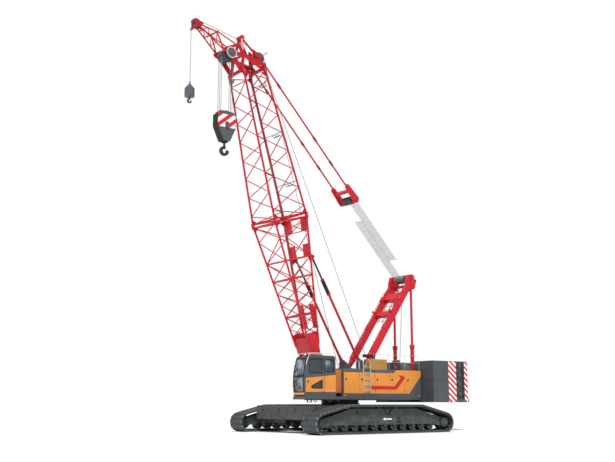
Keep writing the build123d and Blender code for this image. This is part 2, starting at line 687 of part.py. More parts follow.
def make_exhaust_pipe():
    """The exhaust: a riser out of the roof box and a level pipe that leads forward."""
    y = sum(ROOF_BOX_Y) / 2
    foot_z = HOUSE_TOP_Z + ROOF_BOX_HEIGHT
    rise_x = ROOF_BOX_X[0] + (ROOF_BOX_X[1] - ROOF_BOX_X[0]) * 0.6
    level_z = foot_z + PIPE_RISE
    riser = pin_z(rise_x, y, PIPE_RADIUS, (foot_z, level_z))
    level = bar((rise_x - 60, y, level_z), (ROOF_BOX_X[1] + 250, y, level_z), PIPE_RADIUS, 0)
    return riser + level


def make_air_cleaner():
    """The chamfered cover and the mushroom-shaped intake on the left house's roof."""
    y = (HOUSE_INNER_Y + HOUSE_OUTER_Y) / 2
    half = (HOUSE_OUTER_Y - HOUSE_INNER_Y) / 2 - HOUSE_EDGE
    cover = block(COVER_X, (y - half, y + half), (HOUSE_TOP_Z, HOUSE_TOP_Z + COVER_HEIGHT))
    cover = chamfer(cover.edges().group_by(Axis.Z)[-1], COVER_HEIGHT * 0.5)
    top = CLEANER_HEIGHT
    profile = [(0, 0), (70, 0), (70, top - 150), (CLEANER_RADIUS, top - 110), (CLEANER_RADIUS, top - 40),
               (CLEANER_RADIUS * 0.6, top), (0, top)]
    face = Plane.XZ * make_face(Polyline(*profile, close=True))
    intake = Pos(CLEANER_X, y, HOUSE_TOP_Z) * revolve(face, axis=Axis.Z)
    return [cover, intake]


def make_ladder():
    """The access ladder on the left house's side, held off it by short brackets."""
    y = HOUSE_OUTER_Y + LADDER_OFF
    stiles = [block((x - 12, x + 12), (y - 25, y + 25), LADDER_Z) for x in LADDER_X]
    count = int((LADDER_Z[1] - LADDER_Z[0]) // RUNG_PITCH)
    first = LADDER_Z[0] + (LADDER_Z[1] - LADDER_Z[0] - (count - 1) * RUNG_PITCH) / 2
    rungs = [bar((LADDER_X[0], y, first + i * RUNG_PITCH), (LADDER_X[1], y, first + i * RUNG_PITCH),
                 RUNG_RADIUS, 8) for i in range(count)]
    brackets = [block((x - 12, x + 12), (HOUSE_OUTER_Y, y), (z - 20, z + 20))
                for x in LADDER_X for z in (DECK_TOP_Z + 300, HOUSE_TOP_Z - 150)]
    return join([*stiles, *rungs, *brackets])


# ---------------------------------------------------------------- cab

def cab_face(inset):
    """The cab's side outline, moved in by a wall's thickness."""
    outline = [Line((CAB_FRONT_FOOT_X, DECK_TOP_Z), (CAB_REAR_X, DECK_TOP_Z)),
               Line((CAB_REAR_X, DECK_TOP_Z), (CAB_REAR_X + 30, CAB_ROOF_Z - 90)),
               Line((CAB_REAR_X + 30, CAB_ROOF_Z - 90), (CAB_REAR_X + 150, CAB_ROOF_Z - 20)),
               Line((CAB_REAR_X + 150, CAB_ROOF_Z - 20), (CAB_BROW_X - 300, CAB_ROOF_Z)),
               Line((CAB_BROW_X - 300, CAB_ROOF_Z), (CAB_BROW_X, CAB_BROW_Z)),
               ThreePointArc((CAB_BROW_X, CAB_BROW_Z), (CAB_NOSE_X, (CAB_BROW_Z + DECK_TOP_Z) / 2 + 60),
                             (CAB_FRONT_FOOT_X, DECK_TOP_Z))]
    face = make_face(outline)
    return offset(face, amount=-inset) if inset else face


def cab_prism(inset, y):
    """The cab's side outline, moved in by a wall's thickness, between two Y limits."""
    plane = Plane(origin=(0, y[1], 0), x_dir=(1, 0, 0), z_dir=(0, -1, 0))
    return extrude(plane * cab_face(inset), amount=y[1] - y[0])


FRONT_WINDOWS = (((CAB_INNER_Y + 70, CAB_OUTER_Y - 70), (2800.0, 3600.0)),
                 ((CAB_INNER_Y + 70, CAB_OUTER_Y - 70), (2010.0, 2720.0)))
SIDE_WINDOW = ((CAB_REAR_X + 150, DOOR_REAR_X - 90), (3000.0, 3590.0))
RIGHT_WINDOW = ((CAB_REAR_X + 150, 3220.0), (2900.0, 3590.0))
REAR_WINDOW = ((CAB_INNER_Y + 120, CAB_OUTER_Y - 120), (3050.0, 3590.0))
DOOR_WINDOW = ((DOOR_REAR_X + 90, DOOR_FRONT_X - 170), (2930.0, 3600.0))
ROOF_WINDOW = ((2350.0, 2950.0), (CAB_INNER_Y + 150, CAB_OUTER_Y - 150))


def window_boxes(gap):
    """The straight cutters of the windows in the fixed shell, each shrunk by a gap."""
    def shrink(pair):
        return (pair[0] + gap, pair[1] - gap)
    boxes = [block((CAB_BROW_X - 150, CAB_NOSE_X + 20), shrink(y), shrink(z)) for y, z in FRONT_WINDOWS]
    boxes.append(block(shrink(SIDE_WINDOW[0]), (CAB_OUTER_Y - CAB_WALL - 1, CAB_OUTER_Y + 1), shrink(SIDE_WINDOW[1])))
    boxes.append(block(shrink(RIGHT_WINDOW[0]), (CAB_INNER_Y - 1, CAB_INNER_Y + CAB_WALL + 1), shrink(RIGHT_WINDOW[1])))
    boxes.append(block((CAB_REAR_X - 10, CAB_REAR_X + 100), shrink(REAR_WINDOW[0]), shrink(REAR_WINDOW[1])))
    boxes.append(block(shrink(ROOF_WINDOW[0]), shrink(ROOF_WINDOW[1]), (CAB_ROOF_Z - 80, CAB_ROOF_Z + 10)))
    return boxes


# the doorway, whose front edge follows the windscreen's pillar
DOORWAY = [(DOOR_REAR_X, DOOR_FOOT_Z), (DOOR_FRONT_X, DOOR_FOOT_Z), (DOOR_FRONT_X, 2900.0),
           (DOOR_FRONT_X - 130, DOOR_TOP_Z), (DOOR_REAR_X, DOOR_TOP_Z)]
# the low slanted window in the door's lower panel
VENT = [(DOOR_REAR_X + 110, 2180.0), (3020.0, 2180.0), (3060.0, 2300.0), (DOOR_REAR_X + 110, 2580.0)]


def make_cab_shell():
    """The hollow cab with its windows and doorway cut, and the fixed halves of the hinges."""
    shell = cab_prism(0, (CAB_INNER_Y, CAB_OUTER_Y))
    shell -= cab_prism(CAB_WALL, (CAB_INNER_Y + CAB_WALL, CAB_OUTER_Y - CAB_WALL))
    for cutter in window_boxes(0):
        shell -= cutter
    shell -= side_plate(DOORWAY, (CAB_OUTER_Y - CAB_WALL - 1, CAB_OUTER_Y + 1))
    hinges = []
    for z in HINGE_PLACES:
        hinge_x, hinge_y = DOOR_REAR_X, CAB_OUTER_Y + HINGE_RADIUS
        for low, high in ((z - HINGE_HEIGHT / 2, z), (z + HINGE_HEIGHT + 0.0, z + HINGE_HEIGHT * 1.5)):
            gap = SEAT_GAP
            limits = (low, high - gap) if low < z else (low + gap, high)
            hinges.append(pin_z(hinge_x, hinge_y, HINGE_RADIUS, limits))
            hinges.append(block((hinge_x - 110, hinge_x), (CAB_OUTER_Y, CAB_OUTER_Y + HINGE_RADIUS), limits))
        hinges.append(pin_z(hinge_x, hinge_y, HINGE_PIN_RADIUS, (z - HINGE_HEIGHT / 2, z + HINGE_HEIGHT * 1.5)))
    return join([shell, *hinges])


HINGE_PLACES = (2050.0, 3350.0)


def make_cab_door():
    """The door, as thick as the wall, with its window and the moving halves of the hinges."""
    y = (CAB_OUTER_Y - CAB_WALL, CAB_OUTER_Y)
    door = side_plate(DOORWAY, y, DOOR_GAP)
    door -= block(DOOR_WINDOW[0], (y[0] - 1, y[1] + 1), DOOR_WINDOW[1])
    door -= side_plate(VENT, (y[0] - 1, y[1] + 1))
    knuckles = []
    for z in HINGE_PLACES:
        hinge_x, hinge_y = DOOR_REAR_X, CAB_OUTER_Y + HINGE_RADIUS
        limits = (z, z + HINGE_HEIGHT)
        knuckle = pin_z(hinge_x, hinge_y, HINGE_RADIUS, limits)
        knuckle += block((hinge_x, hinge_x + 110), (CAB_OUTER_Y, CAB_OUTER_Y + HINGE_RADIUS), limits)
        knuckles.append(knuckle - pin_z(hinge_x, hinge_y, HINGE_PIN_RADIUS + PIN_GAP, (z - 1, z + HINGE_HEIGHT + 1)))
    return join([door, *knuckles])


def make_cab_glass():
    """The fixed panes, each let into the middle of its wall."""
    inset = CAB_WALL / 2 - GLASS_THICK / 2
    y_out, y_in = CAB_OUTER_Y - inset, CAB_INNER_Y + inset
    band = cab_prism(inset, (y_in, y_out))
    band -= cab_prism(inset + GLASS_THICK, (y_in + GLASS_THICK, y_out - GLASS_THICK))
    return [band & cutter for cutter in window_boxes(SEAT_GAP)]


def make_door_glass():
    middle = CAB_OUTER_Y - CAB_WALL / 2
    y = (middle - GLASS_THICK / 2, middle + GLASS_THICK / 2)
    pane = block((DOOR_WINDOW[0][0] + SEAT_GAP, DOOR_WINDOW[0][1] - SEAT_GAP), y,
                 (DOOR_WINDOW[1][0] + SEAT_GAP, DOOR_WINDOW[1][1] - SEAT_GAP))
    return [pane, side_plate(VENT, y, SEAT_GAP)]


def make_seat():
    """The operator's seat on its pedestal, with a console on each side."""
    middle = (CAB_INNER_Y + CAB_OUTER_Y) / 2
    floor = DECK_TOP_Z + CAB_WALL
    pedestal = block((1900, 2250), (middle - 160, middle + 160), (floor, floor + 260))
    cushion = block((1820, 2360), (middle - 250, middle + 250), (floor + 250, floor + 400))
    back = LEVEL.plate([(1700, -floor - 380), (1860, -floor - 380), (1780, -floor - 1150), (1640, -floor - 1150)],
                       (middle - 240, middle + 240))
    back = back + block((1700, 1900), (middle - 240, middle + 240), (floor + 300, floor + 400))
    consoles = [block((1950, 2380), (middle + 250, middle + 340) if side > 0 else
                      (middle - 340, middle - 250), (floor + 240, floor + 560)) for side in (-1, 1)]
    return join([pedestal, cushion, back, *consoles])


# ---------------------------------------------------------------- counterweight

def make_weight_stack(sign):
    """One side's stack of slabs, with a groove where two slabs meet and a recess for the lugs."""
    y = sorted((sign * WEIGHT_INNER_Y, sign * WEIGHT_OUTER_Y))
    foot = WEIGHT_FOOT_Z + TRAY_THICK
    stack = block((WEIGHT_REAR_X, WEIGHT_FRONT_X), y, (foot, WEIGHT_TOP_Z))
    slab = (WEIGHT_TOP_Z - foot) / SLABS
    outer = sign * WEIGHT_OUTER_Y
    recess_x = (RECESS_X - RECESS_WIDTH / 2, RECESS_X + RECESS_WIDTH / 2)
    recess = block(recess_x, sorted((outer - sign * RECESS_DEPTH, outer + sign)), (foot - 1, WEIGHT_TOP_Z + 1))
    stack -= recess
    for i in range(1, SLABS):
        z = foot + i * slab
        ring = block((WEIGHT_REAR_X - 1, WEIGHT_FRONT_X + 1), (y[0] - 1, y[1] + 1), (z - SLAB_GROOVE / 2, z + SLAB_GROOVE / 2))
        ring -= block((WEIGHT_REAR_X + SLAB_GROOVE, WEIGHT_FRONT_X - SLAB_GROOVE),
                      (y[0] + SLAB_GROOVE, y[1] - SLAB_GROOVE), (z - SLAB_GROOVE, z + SLAB_GROOVE))
        stack -= ring
    lugs = []
    for i in range(SLABS):
        z = foot + (i + 0.5) * slab
        limits = sorted((outer - sign * (RECESS_DEPTH + 5), outer - sign * 20))
        lug = pin_y(RECESS_X, z, 95, limits)
        lugs.append(lug)
    return join([stack, *lugs])


# ---------------------------------------------------------------- gantry

GANTRY_ANGLE = math.degrees(math.atan2(GANTRY_Z - GANTRY_FOOT_Z - 120, GANTRY_X - GANTRY_FOOT_X))
GANTRY_LEG = Run(GANTRY_FOOT_X, GANTRY_FOOT_Z, GANTRY_ANGLE)
GANTRY_LEG_LENGTH = math.hypot(GANTRY_Z - 120 - GANTRY_FOOT_Z, GANTRY_X - GANTRY_FOOT_X)


def make_front_legs():
    """Two box beams from the pedestals up to the gantry's head, each with its eye and pin."""
    half = GANTRY_LEG_DEPTH / 2
    outline = [(300, -half * 0.55), (900, -half), (GANTRY_LEG_LENGTH - 800, -half),
               (GANTRY_LEG_LENGTH - 150, -half * 0.6), (GANTRY_LEG_LENGTH - 150, half * 0.7),
               (GANTRY_LEG_LENGTH - 800, half), (900, half), (300, half * 0.55)]
    beam = GANTRY_LEG.plate(outline, (GANTRY_Y - GANTRY_LEG_WIDTH / 2, GANTRY_Y + GANTRY_LEG_WIDTH / 2))
    beam = beam - pin_z(BACK_LEG_X, GANTRY_Y, BACK_LEG_RADIUS + SEAT_GAP, (BACK_TUBE_TOP_Z, GANTRY_Z))
    beam = beam - make_gantry_cheek()
    eye_y = (GANTRY_Y - GANTRY_EYE_WIDTH / 2, GANTRY_Y + GANTRY_EYE_WIDTH / 2)
    eye = GANTRY_LEG.link([(0, 0, 110), (350, 0, 110)], eye_y)
    low, high = pedestal_sides()[0][0], pedestal_sides()[1][1]
    pin = pin_y(GANTRY_FOOT_X, GANTRY_FOOT_Z, GANTRY_PIN_RADIUS, (low, high))
    legs = both(join([beam, eye, pin]))
    inner_y = GANTRY_Y - GANTRY_LEG_WIDTH / 2 + 10
    middle, upper = GANTRY_LEG_LENGTH * 0.61, GANTRY_LEG_LENGTH - 1150
    cross = [GANTRY_LEG.block((middle - 150, middle + 150), (-120, 120), (-inner_y, inner_y)),
             GANTRY_LEG.block((upper - 230, upper + 230), (-140, 140), (-inner_y, inner_y))]
    stubs = [bar(GANTRY_LEG.at(middle, half - 20, y), GANTRY_LEG.at(middle, half + 190, y), 55, 12)
             for y in (-GANTRY_Y, GANTRY_Y)]
    return join([*legs, *cross, *stubs])


def make_back_legs():
    """Two upright telescoped tubes behind the gantry, each with a collar where they slide."""
    legs = []
    for y in (-GANTRY_Y, GANTRY_Y):
        legs.append(join([pin_z(BACK_LEG_X, y, BACK_TUBE_RADIUS, (PLATE_TOP_Z, BACK_TUBE_TOP_Z)),
                          pin_z(BACK_LEG_X, y, BACK_TUBE_RADIUS + 35, (BACK_TUBE_TOP_Z - 120, BACK_TUBE_TOP_Z + 60)),
                          pin_z(BACK_LEG_X, y, BACK_LEG_RADIUS, (BACK_TUBE_TOP_Z, BACK_LEG_TOP_Z))]))
    return legs


def make_gantry_cheek():
    """The left cheek of the gantry's head, standing on the back leg's top."""
    foot = GANTRY_Z - BACK_LEG_TOP_Z
    outline = [(-190, foot), (100, foot), (180, foot + 180), (360, foot + 180), (400, foot + 30), (330, 60),
               (230, -190), (-60, -240), (-210, -120)]
    half = GANTRY_LEG_WIDTH / 2
    return Run(GANTRY_X, GANTRY_Z, 0).plate(outline, (GANTRY_Y - half, GANTRY_Y + half))


def make_gantry_head():
    """The head that joins the four legs and holds the rope sheaves' axle."""
    low, high = GANTRY_Y - GANTRY_LEG_WIDTH / 2, GANTRY_Y + GANTRY_LEG_WIDTH / 2
    beam_top = GANTRY_Z - SUSPENSION_SHEAVE - 100
    beam = block((GANTRY_X - 60, GANTRY_X + 60), (-low - 10, low + 10), (beam_top - 150, beam_top))
    axle = pin_y(GANTRY_X, GANTRY_Z, 60, (-high - 30, high + 30))
    tail = [(-340, 60), (-190, 560), (60, 560), (150, -40)]
    tails = both(Run(GANTRY_X, GANTRY_Z, 0).plate(tail, (low - 30, high + 30)))
    return join([*both(make_gantry_cheek()), *tails, beam, axle])


# ---------------------------------------------------------------- boom

BOOM = Run(FOOT_X, FOOT_Z, BOOM_ANGLE)


def boom_size(s):
    """The chord spacing across and along the luffing plane at a place along the boom."""
    if s <= JOINT_S:
        share = (s - BASE_START_S) / (JOINT_S - BASE_START_S)
        start, end = (BASE_WIDTH, BASE_DEPTH), (JOINT_WIDTH, JOINT_DEPTH)
    else:
        share = (s - JOINT_S) / (TOP_SIZE_S - JOINT_S)
        start, end = (JOINT_WIDTH, JOINT_DEPTH), (TOP_WIDTH, TOP_DEPTH)
    return tuple(a + (b - a) * share for a, b in zip(start, end))


CORNERS = ((1, 1), (1, -1), (-1, -1), (-1, 1))     # signs of Y and N, in order round the section


def corner(s, which):
    """The point of one chord's centre line at S."""
    width, depth = boom_size(s)
    side, front = CORNERS[which % 4]
    return BOOM.at(s, front * depth / 2, side * width / 2)


def chords(start, end):
    """The four corner tubes between two places along the boom."""
    return [bar(corner(start, i), corner(end, i), CHORD_RADIUS, 8, CHORD_RADIUS) for i in range(4)]


def lacing(nodes, crossed=()):
    """Zigzag bars on the four faces between nodes along the boom, crossed to an X on some faces."""
    pieces = []
    for face in range(4):
        for i, (low, high) in enumerate(zip(nodes, nodes[1:])):
            turn = (i + 1) % 2
            for side in (turn, 1 - turn) if face in crossed else (turn,):
                pieces.append(bar(corner(low, face + side), corner(high, face + 1 - side), LACE_RADIUS))
    return pieces


def cross_frame(s, radius=LACE_RADIUS):
    """Four straight members round the section at S."""
    return [bar(corner(s, i), corner(s, i + 1), radius) for i in range(4)]


def base_place(share):
    """A place along the foot section from its share of the section's length."""
    return BASE_START_S + share * (JOINT_S - BASE_START_S)


def trim_boom(section, start, end):
    """A boom section cut square at its two ends."""
    reach = 2 * JOINT_DEPTH
    for cut in ((start - reach, start), (end, end + reach)):
        section -= BOOM.block(cut, (-reach, reach), (-reach, reach))
    return section


def make_boom_top():
    start, end = JOINT_S + TOP_LACE_GAP, TOP_END_S - TOP_LACE_GAP
    step = (end - start) / TOP_PANELS
    nodes = [JOINT_S + 90, *(start + i * step for i in range(TOP_PANELS + 1)), TOP_END_S - 60]
    pieces = chords(JOINT_S + 0.5, TOP_END_S) + lacing(nodes) + cross_frame(JOINT_S + 90, 45)
    return trim_boom(join(pieces), JOINT_S, TOP_END_S)


def make_boom_base():
    """The foot legs, the plates between them and the lattice up to the joint."""
    nodes = [*(base_place(share) for share in BASE_NODES), JOINT_S - 90]
    pieces = chords(BASE_START_S - 100, JOINT_S) + lacing(nodes, (1, 3))
    pieces += cross_frame(JOINT_S - 90, 45)
    for share in BASE_FRAMES:
        pieces += cross_frame(base_place(share), 45)
    pieces += make_rear_plates()
    leg_y = (LEG_INNER_Y, LEG_INNER_Y + LEG_THICK)
    leg = BOOM.link([(0, 0, FOOT_EYE_RADIUS), (1500, 0, LEG_HALF_DEPTH)], leg_y)
    upper_half = boom_size(LEG_END_S)[1] / 2 - CHORD_RADIUS * 0.5
    outline = [(1300, -LEG_HALF_DEPTH), (LEG_END_S, -upper_half), (LEG_END_S, upper_half), (1300, LEG_HALF_DEPTH)]
    leg = leg + BOOM.plate(outline, leg_y)
    leg -= BOOM.pin(0, 0, FOOT_PIN_RADIUS + PIN_GAP, (leg_y[0] - 1, leg_y[1] + 1))
    pieces += both(leg)
    for n in (-BASE_DEPTH / 2 * 0.9, BASE_DEPTH / 2 * 0.9):
        pieces.append(BOOM.block((1900, 2900), (n - 20, n + 20), (-LEG_INNER_Y - 20, LEG_INNER_Y + 20)))
    pieces += both(make_stop_lug())
    return trim_boom(join(pieces), -JOINT_DEPTH, JOINT_S)


def make_rear_plates():
    """The flat plates beside the rear chords, with a bar across between each pair."""
    pieces = []
    for shares in REAR_PLATES:
        places = [base_place(share) for share in shares]
        for side in (1, 2):
            inward = 1 if side == 2 else -1
            outline = []
            for s, inset in ((places[0], 0), (places[1], 0), (places[1], REAR_PLATE_WIDTH),
                             (places[0], REAR_PLATE_WIDTH)):
                x, y, z = corner(s, side)
                outline.append((x, y + inward * inset, z))
            pieces.append(Solid.extrude(Face(Wire.make_polygon(outline, close=True)),
                                        Vector(BOOM.sin, 0, -BOOM.cos) * 20))
        pieces.append(bar(corner(places[0], 1), corner(places[0], 2), LACE_RADIUS))
    return pieces


def stop_pin_place():
    """The backstop's upper pin in the boom's frame."""
    return boom_place(STOP_END_X, STOP_END_Z)


def make_stop_lug():
    """The lug behind a rear chord that meets the backstop's rod from outside."""
    s, n = stop_pin_place()
    chord_n = -boom_size(s)[1] / 2
    inner = GANTRY_Y + GANTRY_EYE_WIDTH / 2 + SIDE_GAP
    lug = BOOM.link([(s, n, 90), (s - 150, chord_n, 60), (s + 150, chord_n, 60)], (inner, inner + 45))
    seat = BOOM.block((s - 150, s + 150), (chord_n - 40, chord_n + 40), (inner, boom_size(s)[0] / 2))
    return join([lug, seat, BOOM.pin(s, n, 60, (inner, inner + 75))])


def make_boom_head():
    """Two open side frames of flat members on the chords' ends, the A-frame and the sheaves' axles."""
    box_half = HEAD_BOX / 2
    middle = TOP_END_S + box_half
    width, depth = boom_size(TOP_END_S)
    front, rear = (middle, depth / 2), (middle, -depth / 2)
    outer = HEAD_PLATE_Y + HEAD_PLATE_THICK
    pieces = [BOOM.block((middle - box_half, middle + box_half), (n - box_half, n + box_half),
                         (-width / 2 - CHORD_RADIUS, width / 2 + CHORD_RADIUS)) for _, n in (front, rear)]
    members = (((*front, 120), (*HEAD_AXLE, 150)), ((*HEAD_AXLE, 150), (*JIB_ROOT, 90)),
               ((*front, 80), (*HEAD_MIDDLE, 90)), ((*HEAD_AXLE, 110), (*HEAD_MIDDLE, 110)),
               ((*HEAD_MIDDLE, 110), (*LINK_FOOT, 75)), ((*LINK_FOOT, 70), (*JIB_ROOT, 80)),
               ((*rear, 80), (*HEAD_MIDDLE, 85)), ((*rear, 110), (*PENDANT_PIN, 115)),
               ((*PENDANT_PIN, 100), (*HEAD_MIDDLE, 90)))
    for member in members:
        pieces += both(BOOM.link(member, (HEAD_PLATE_Y, outer)))
    reach = HEAD_PLATE_Y + 10
    bracket_root = (PENDANT_PIN[0] * 0.7 + HEAD_MIDDLE[0] * 0.3, PENDANT_PIN[1] * 0.7 + HEAD_MIDDLE[1] * 0.3)
    for place in (HEAD_MIDDLE, bracket_root):
        pieces.append(BOOM.pin(*place, 60, (-reach, reach)))
    pieces.append(BOOM.pin(*HEAD_AXLE, 70, (-outer - 40, outer + 2 * SIDE_GAP + SHEAVE_THICK)))
    for start, radius in ((HEAD_MIDDLE, 75), (PENDANT_PIN, 52)):
        pieces += both(bar(BOOM.at(*start, outer - radius - 5), BOOM.at(*APEX, APEX_Y), radius))
    pieces.append(BOOM.block((APEX[0] - 80, APEX[0] + 80), (APEX[1] - 110, APEX[1] + 110), (-APEX_Y - 60, APEX_Y + 60)))
    guide_half = (GUIDE_SHEAVES - 1) / 2 * GUIDE_PITCH + SHEAVE_THICK / 2
    bracket = [(*bracket_root, 90), (*GUIDE_AXLE, 90), (GUIDE_AXLE[0] + 380, GUIDE_AXLE[1] + 330, 50)]
    pieces += both(BOOM.link(bracket, (guide_half + 35, guide_half + 85)))
    pieces.append(BOOM.pin(*GUIDE_AXLE, 45, (-guide_half - 110, guide_half + 110)))
    pieces.append(bar(BOOM.at(*GUIDE_AXLE, guide_half + 60),
                      BOOM.at(GUIDE_AXLE[0] + 245, GUIDE_AXLE[1] - 545, guide_half + 60), 22))
    pieces += both(BOOM.pin(*PENDANT_PIN, PENDANT_PIN_RADIUS, (HEAD_PLATE_Y, outer + 90)))
    pieces += both(BOOM.pin(*LINK_FOOT, LINK_PIN_RADIUS, (LINK_Y - 35, HEAD_PLATE_Y + 10)))
    return join(pieces)


def make_sheaves(run, axle, radius, count, pitch, bore):
    """A row of equal sheaves on one axle, centred across the crane."""
    places = [(i - (count - 1) / 2) * pitch for i in range(count)]
    return [sheave(run, *axle, radius, y, SHEAVE_THICK, bore + PIN_GAP) for y in places]


TIP_AXLE = (AUX_ROPE_X - rope_seat(TIP_SHEAVE_RADIUS), 20150.0)


def boom_place(x, z):
    """A point's S and N in the boom's frame."""
    dx, dz = x - FOOT_X, z - FOOT_Z
    return dx * BOOM.cos + dz * BOOM.sin, dx * BOOM.sin - dz * BOOM.cos


def between(start, end, share):
    """The point at a share of the way from one point to another."""
    return tuple(a + (b - a) * share for a, b in zip(start, end))


def make_tip_jib():
    """The short tapered jib: two pairs of chords, their lacing, and cheeks that hold the tip sheave."""
    pieces = []
    s, n = boom_place(*TIP_AXLE)
    for side in (-1, 1):
        root, knuckle = (*JIB_ROOT, side * JIB_ROOT_Y), (*JIB_KNUCKLE, side * JIB_KNUCKLE_Y)
        tip, upper_tip = (*JIB_TIP, side * JIB_TIP_Y), (JIB_TIP[0] + 90, JIB_TIP[1] + 10, side * JIB_TIP_Y)
        for start, end in ((root, tip), (knuckle, upper_tip), (root, knuckle)):
            pieces.append(bar(BOOM.at(*start), BOOM.at(*end), JIB_CHORD))
        for low, high in ((0.3, 0.0), (0.6, 0.0), (0.6, 0.45), (0.85, 0.45)):
            pieces.append(bar(BOOM.at(*between(root, tip, low)), BOOM.at(*between(knuckle, upper_tip, high)), 24))
        y = sorted((side * (JIB_TIP_Y - 25), side * (JIB_TIP_Y + 25)))
        pieces.append(BOOM.link([(s, n, 110), (s - 20, n - 250, 70), (s + 170, n + 120, 70), (*JIB_TIP, 60)], y))
        pieces.append(BOOM.link([(s, n, 110), (s - 240, n + 285, 55)], y))
        pieces.append(BOOM.pin(*JIB_ROOT, JIB_CHORD, sorted((side * JIB_ROOT_Y, side * (HEAD_PLATE_Y - SEAT_GAP)))))
    pieces.append(BOOM.pin(*JIB_KNUCKLE, LINK_PIN_RADIUS, (-LINK_Y - 35, LINK_Y + 35)))
    pieces.append(BOOM.pin(s - 240, n + 285, 25, (-JIB_TIP_Y, JIB_TIP_Y)))
    for share in (0.3, 0.6, 0.85):
        low = between((*JIB_ROOT, JIB_ROOT_Y), (*JIB_TIP, JIB_TIP_Y), share)
        pieces.append(bar(BOOM.at(low[0], low[1], -low[2]), BOOM.at(*low), 24))
    pieces.append(pin_y(*TIP_AXLE, 40, (-JIB_TIP_Y - 60, JIB_TIP_Y + 60)))
    return join(pieces)


def make_jib_links():
    """The two eye bars that hold the jib's upper knuckle back to the head."""
    x, _, z = BOOM.at(*LINK_FOOT)
    far_x, _, far_z = BOOM.at(*JIB_KNUCKLE)
    run = Run(x, z, math.degrees(math.atan2(far_z - z, far_x - x)))
    length = math.hypot(far_x - x, far_z - z)
    return both(eye_bar(run, length, 60, 55, LINK_PIN_RADIUS + PIN_GAP, (LINK_Y - 15, LINK_Y + 15)))


# ---------------------------------------------------------------- suspension

PIN_X, _, PIN_Z = BOOM.at(*PENDANT_PIN)
SUSPENSION_ANGLE = math.degrees(math.atan2(GANTRY_Z - PIN_Z, GANTRY_X - PIN_X))
LINE = Run(PIN_X, PIN_Z, SUSPENSION_ANGLE)
LINE_LENGTH = math.hypot(GANTRY_Z - PIN_Z, GANTRY_X - PIN_X)


def make_pendants():
    """The two flat pendant bars from the boom head to the bridle, with an eye at each end."""
    y0 = HEAD_PLATE_Y + HEAD_PLATE_THICK + SIDE_GAP
    y = (y0, y0 + PENDANT_THICK)
    return both(eye_bar(LINE, BRIDLE_PIN_RUN, PENDANT_WIDTH, PENDANT_EYE, PENDANT_PIN_RADIUS + PIN_GAP, y))


def make_bridle():
    """The bridle: two cheek plates and a cross beam, with the sheaves' axle and the pendant pins."""
    inner = HEAD_PLATE_Y + HEAD_PLATE_THICK + SIDE_GAP + PENDANT_THICK
    outer = inner + 60
    cheek = LINE.link([(BRIDLE_PIN_RUN, 0, 150), (BRIDLE_RUN, 0, 210)], (inner, outer))
    beam = LINE.block((BRIDLE_PIN_RUN + 180, BRIDLE_PIN_RUN + 330), (-110, 110), (-inner - 10, inner + 10))
    return join([*both(cheek), beam, LINE.pin(BRIDLE_RUN, 0, 60, (-outer - 60, outer + 60)),
                 *both(LINE.pin(BRIDLE_PIN_RUN, 0, PENDANT_PIN_RADIUS, (inner - PENDANT_THICK - 20, outer + 40)))])


def make_rope_layer(start, end, side):
    """A layer of parallel ropes tangent to the suspension sheaves, above or below their axes."""
    n = side * rope_seat(SUSPENSION_SHEAVE)
    places = [(i - (SUSPENSION_SHEAVES - 1) / 2) * SUSPENSION_PITCH for i in range(SUSPENSION_SHEAVES)]
    return [bar(LINE.at(start, n, y), LINE.at(end, n, y), ROPE_RADIUS, 0) for y in places]


# ---------------------------------------------------------------- backstops

STOP_ANGLE = math.degrees(math.atan2(STOP_END_Z - STOP_Z, STOP_END_X - STOP_X))
STOP = Run(STOP_X, STOP_Z, STOP_ANGLE)
STOP_LENGTH = math.hypot(STOP_END_Z - STOP_Z, STOP_END_X - STOP_X)


def make_stop_tubes():
    """The backstops' tubes with their lower eyes and the fat buffer sleeves at the top."""
    half = GANTRY_EYE_WIDTH / 2
    eye = STOP.link([(0, 0, STOP_EYE_RADIUS), (220, 0, STOP_TUBE_RADIUS)], (GANTRY_Y - half, GANTRY_Y + half))
    tube = bar(STOP.at(200, 0, GANTRY_Y), STOP.at(STOP_SLEEVE_RUN[0], 0, GANTRY_Y), STOP_TUBE_RADIUS, 0)
    sleeve = bar(STOP.at(STOP_SLEEVE_RUN[0], 0, GANTRY_Y), STOP.at(STOP_SLEEVE_RUN[1], 0, GANTRY_Y),
                 STOP_SLEEVE_RADIUS, 0)
    bore = bar(STOP.at(300, 0, GANTRY_Y), STOP.at(STOP_SLEEVE_RUN[1] + 1, 0, GANTRY_Y), STOP_ROD_RADIUS + PIN_GAP, 0)
    tube = join([eye, tube, sleeve]) - bore
    return both(tube - pin_y(STOP_X, STOP_Z, STOP_PIN_RADIUS + PIN_GAP, (0, GANTRY_Y * 2)))


def make_stop_rods():
    """The backstops' rods, each with the eye that meets the boom's lug."""
    half = GANTRY_EYE_WIDTH / 2
    rod = bar(STOP.at(STOP_ROD_START, 0, GANTRY_Y), STOP.at(STOP_LENGTH - 40, 0, GANTRY_Y), STOP_ROD_RADIUS, 0)
    eye = STOP.pin(STOP_LENGTH, 0, ROD_EYE_RADIUS, (GANTRY_Y - half, GANTRY_Y + half))
    return both(rod + eye)


# ---------------------------------------------------------------- hooks

HEAD_X, _, HEAD_Z = BOOM.at(*HEAD_AXLE)


def make_hoist_ropes():
    """The falls of the main hoist rope from the head sheaves down to the block."""
    falls = []
    for place in HOIST_FALLS:
        for side in (-1, 1):
            x, y = HEAD_X + side * rope_seat(HEAD_SHEAVE_RADIUS), place * HEAD_SHEAVE_PITCH
            falls.append(bar((x, y, BLOCK_TOP_Z), (x, y, HEAD_Z), ROPE_RADIUS, 0))
    return falls


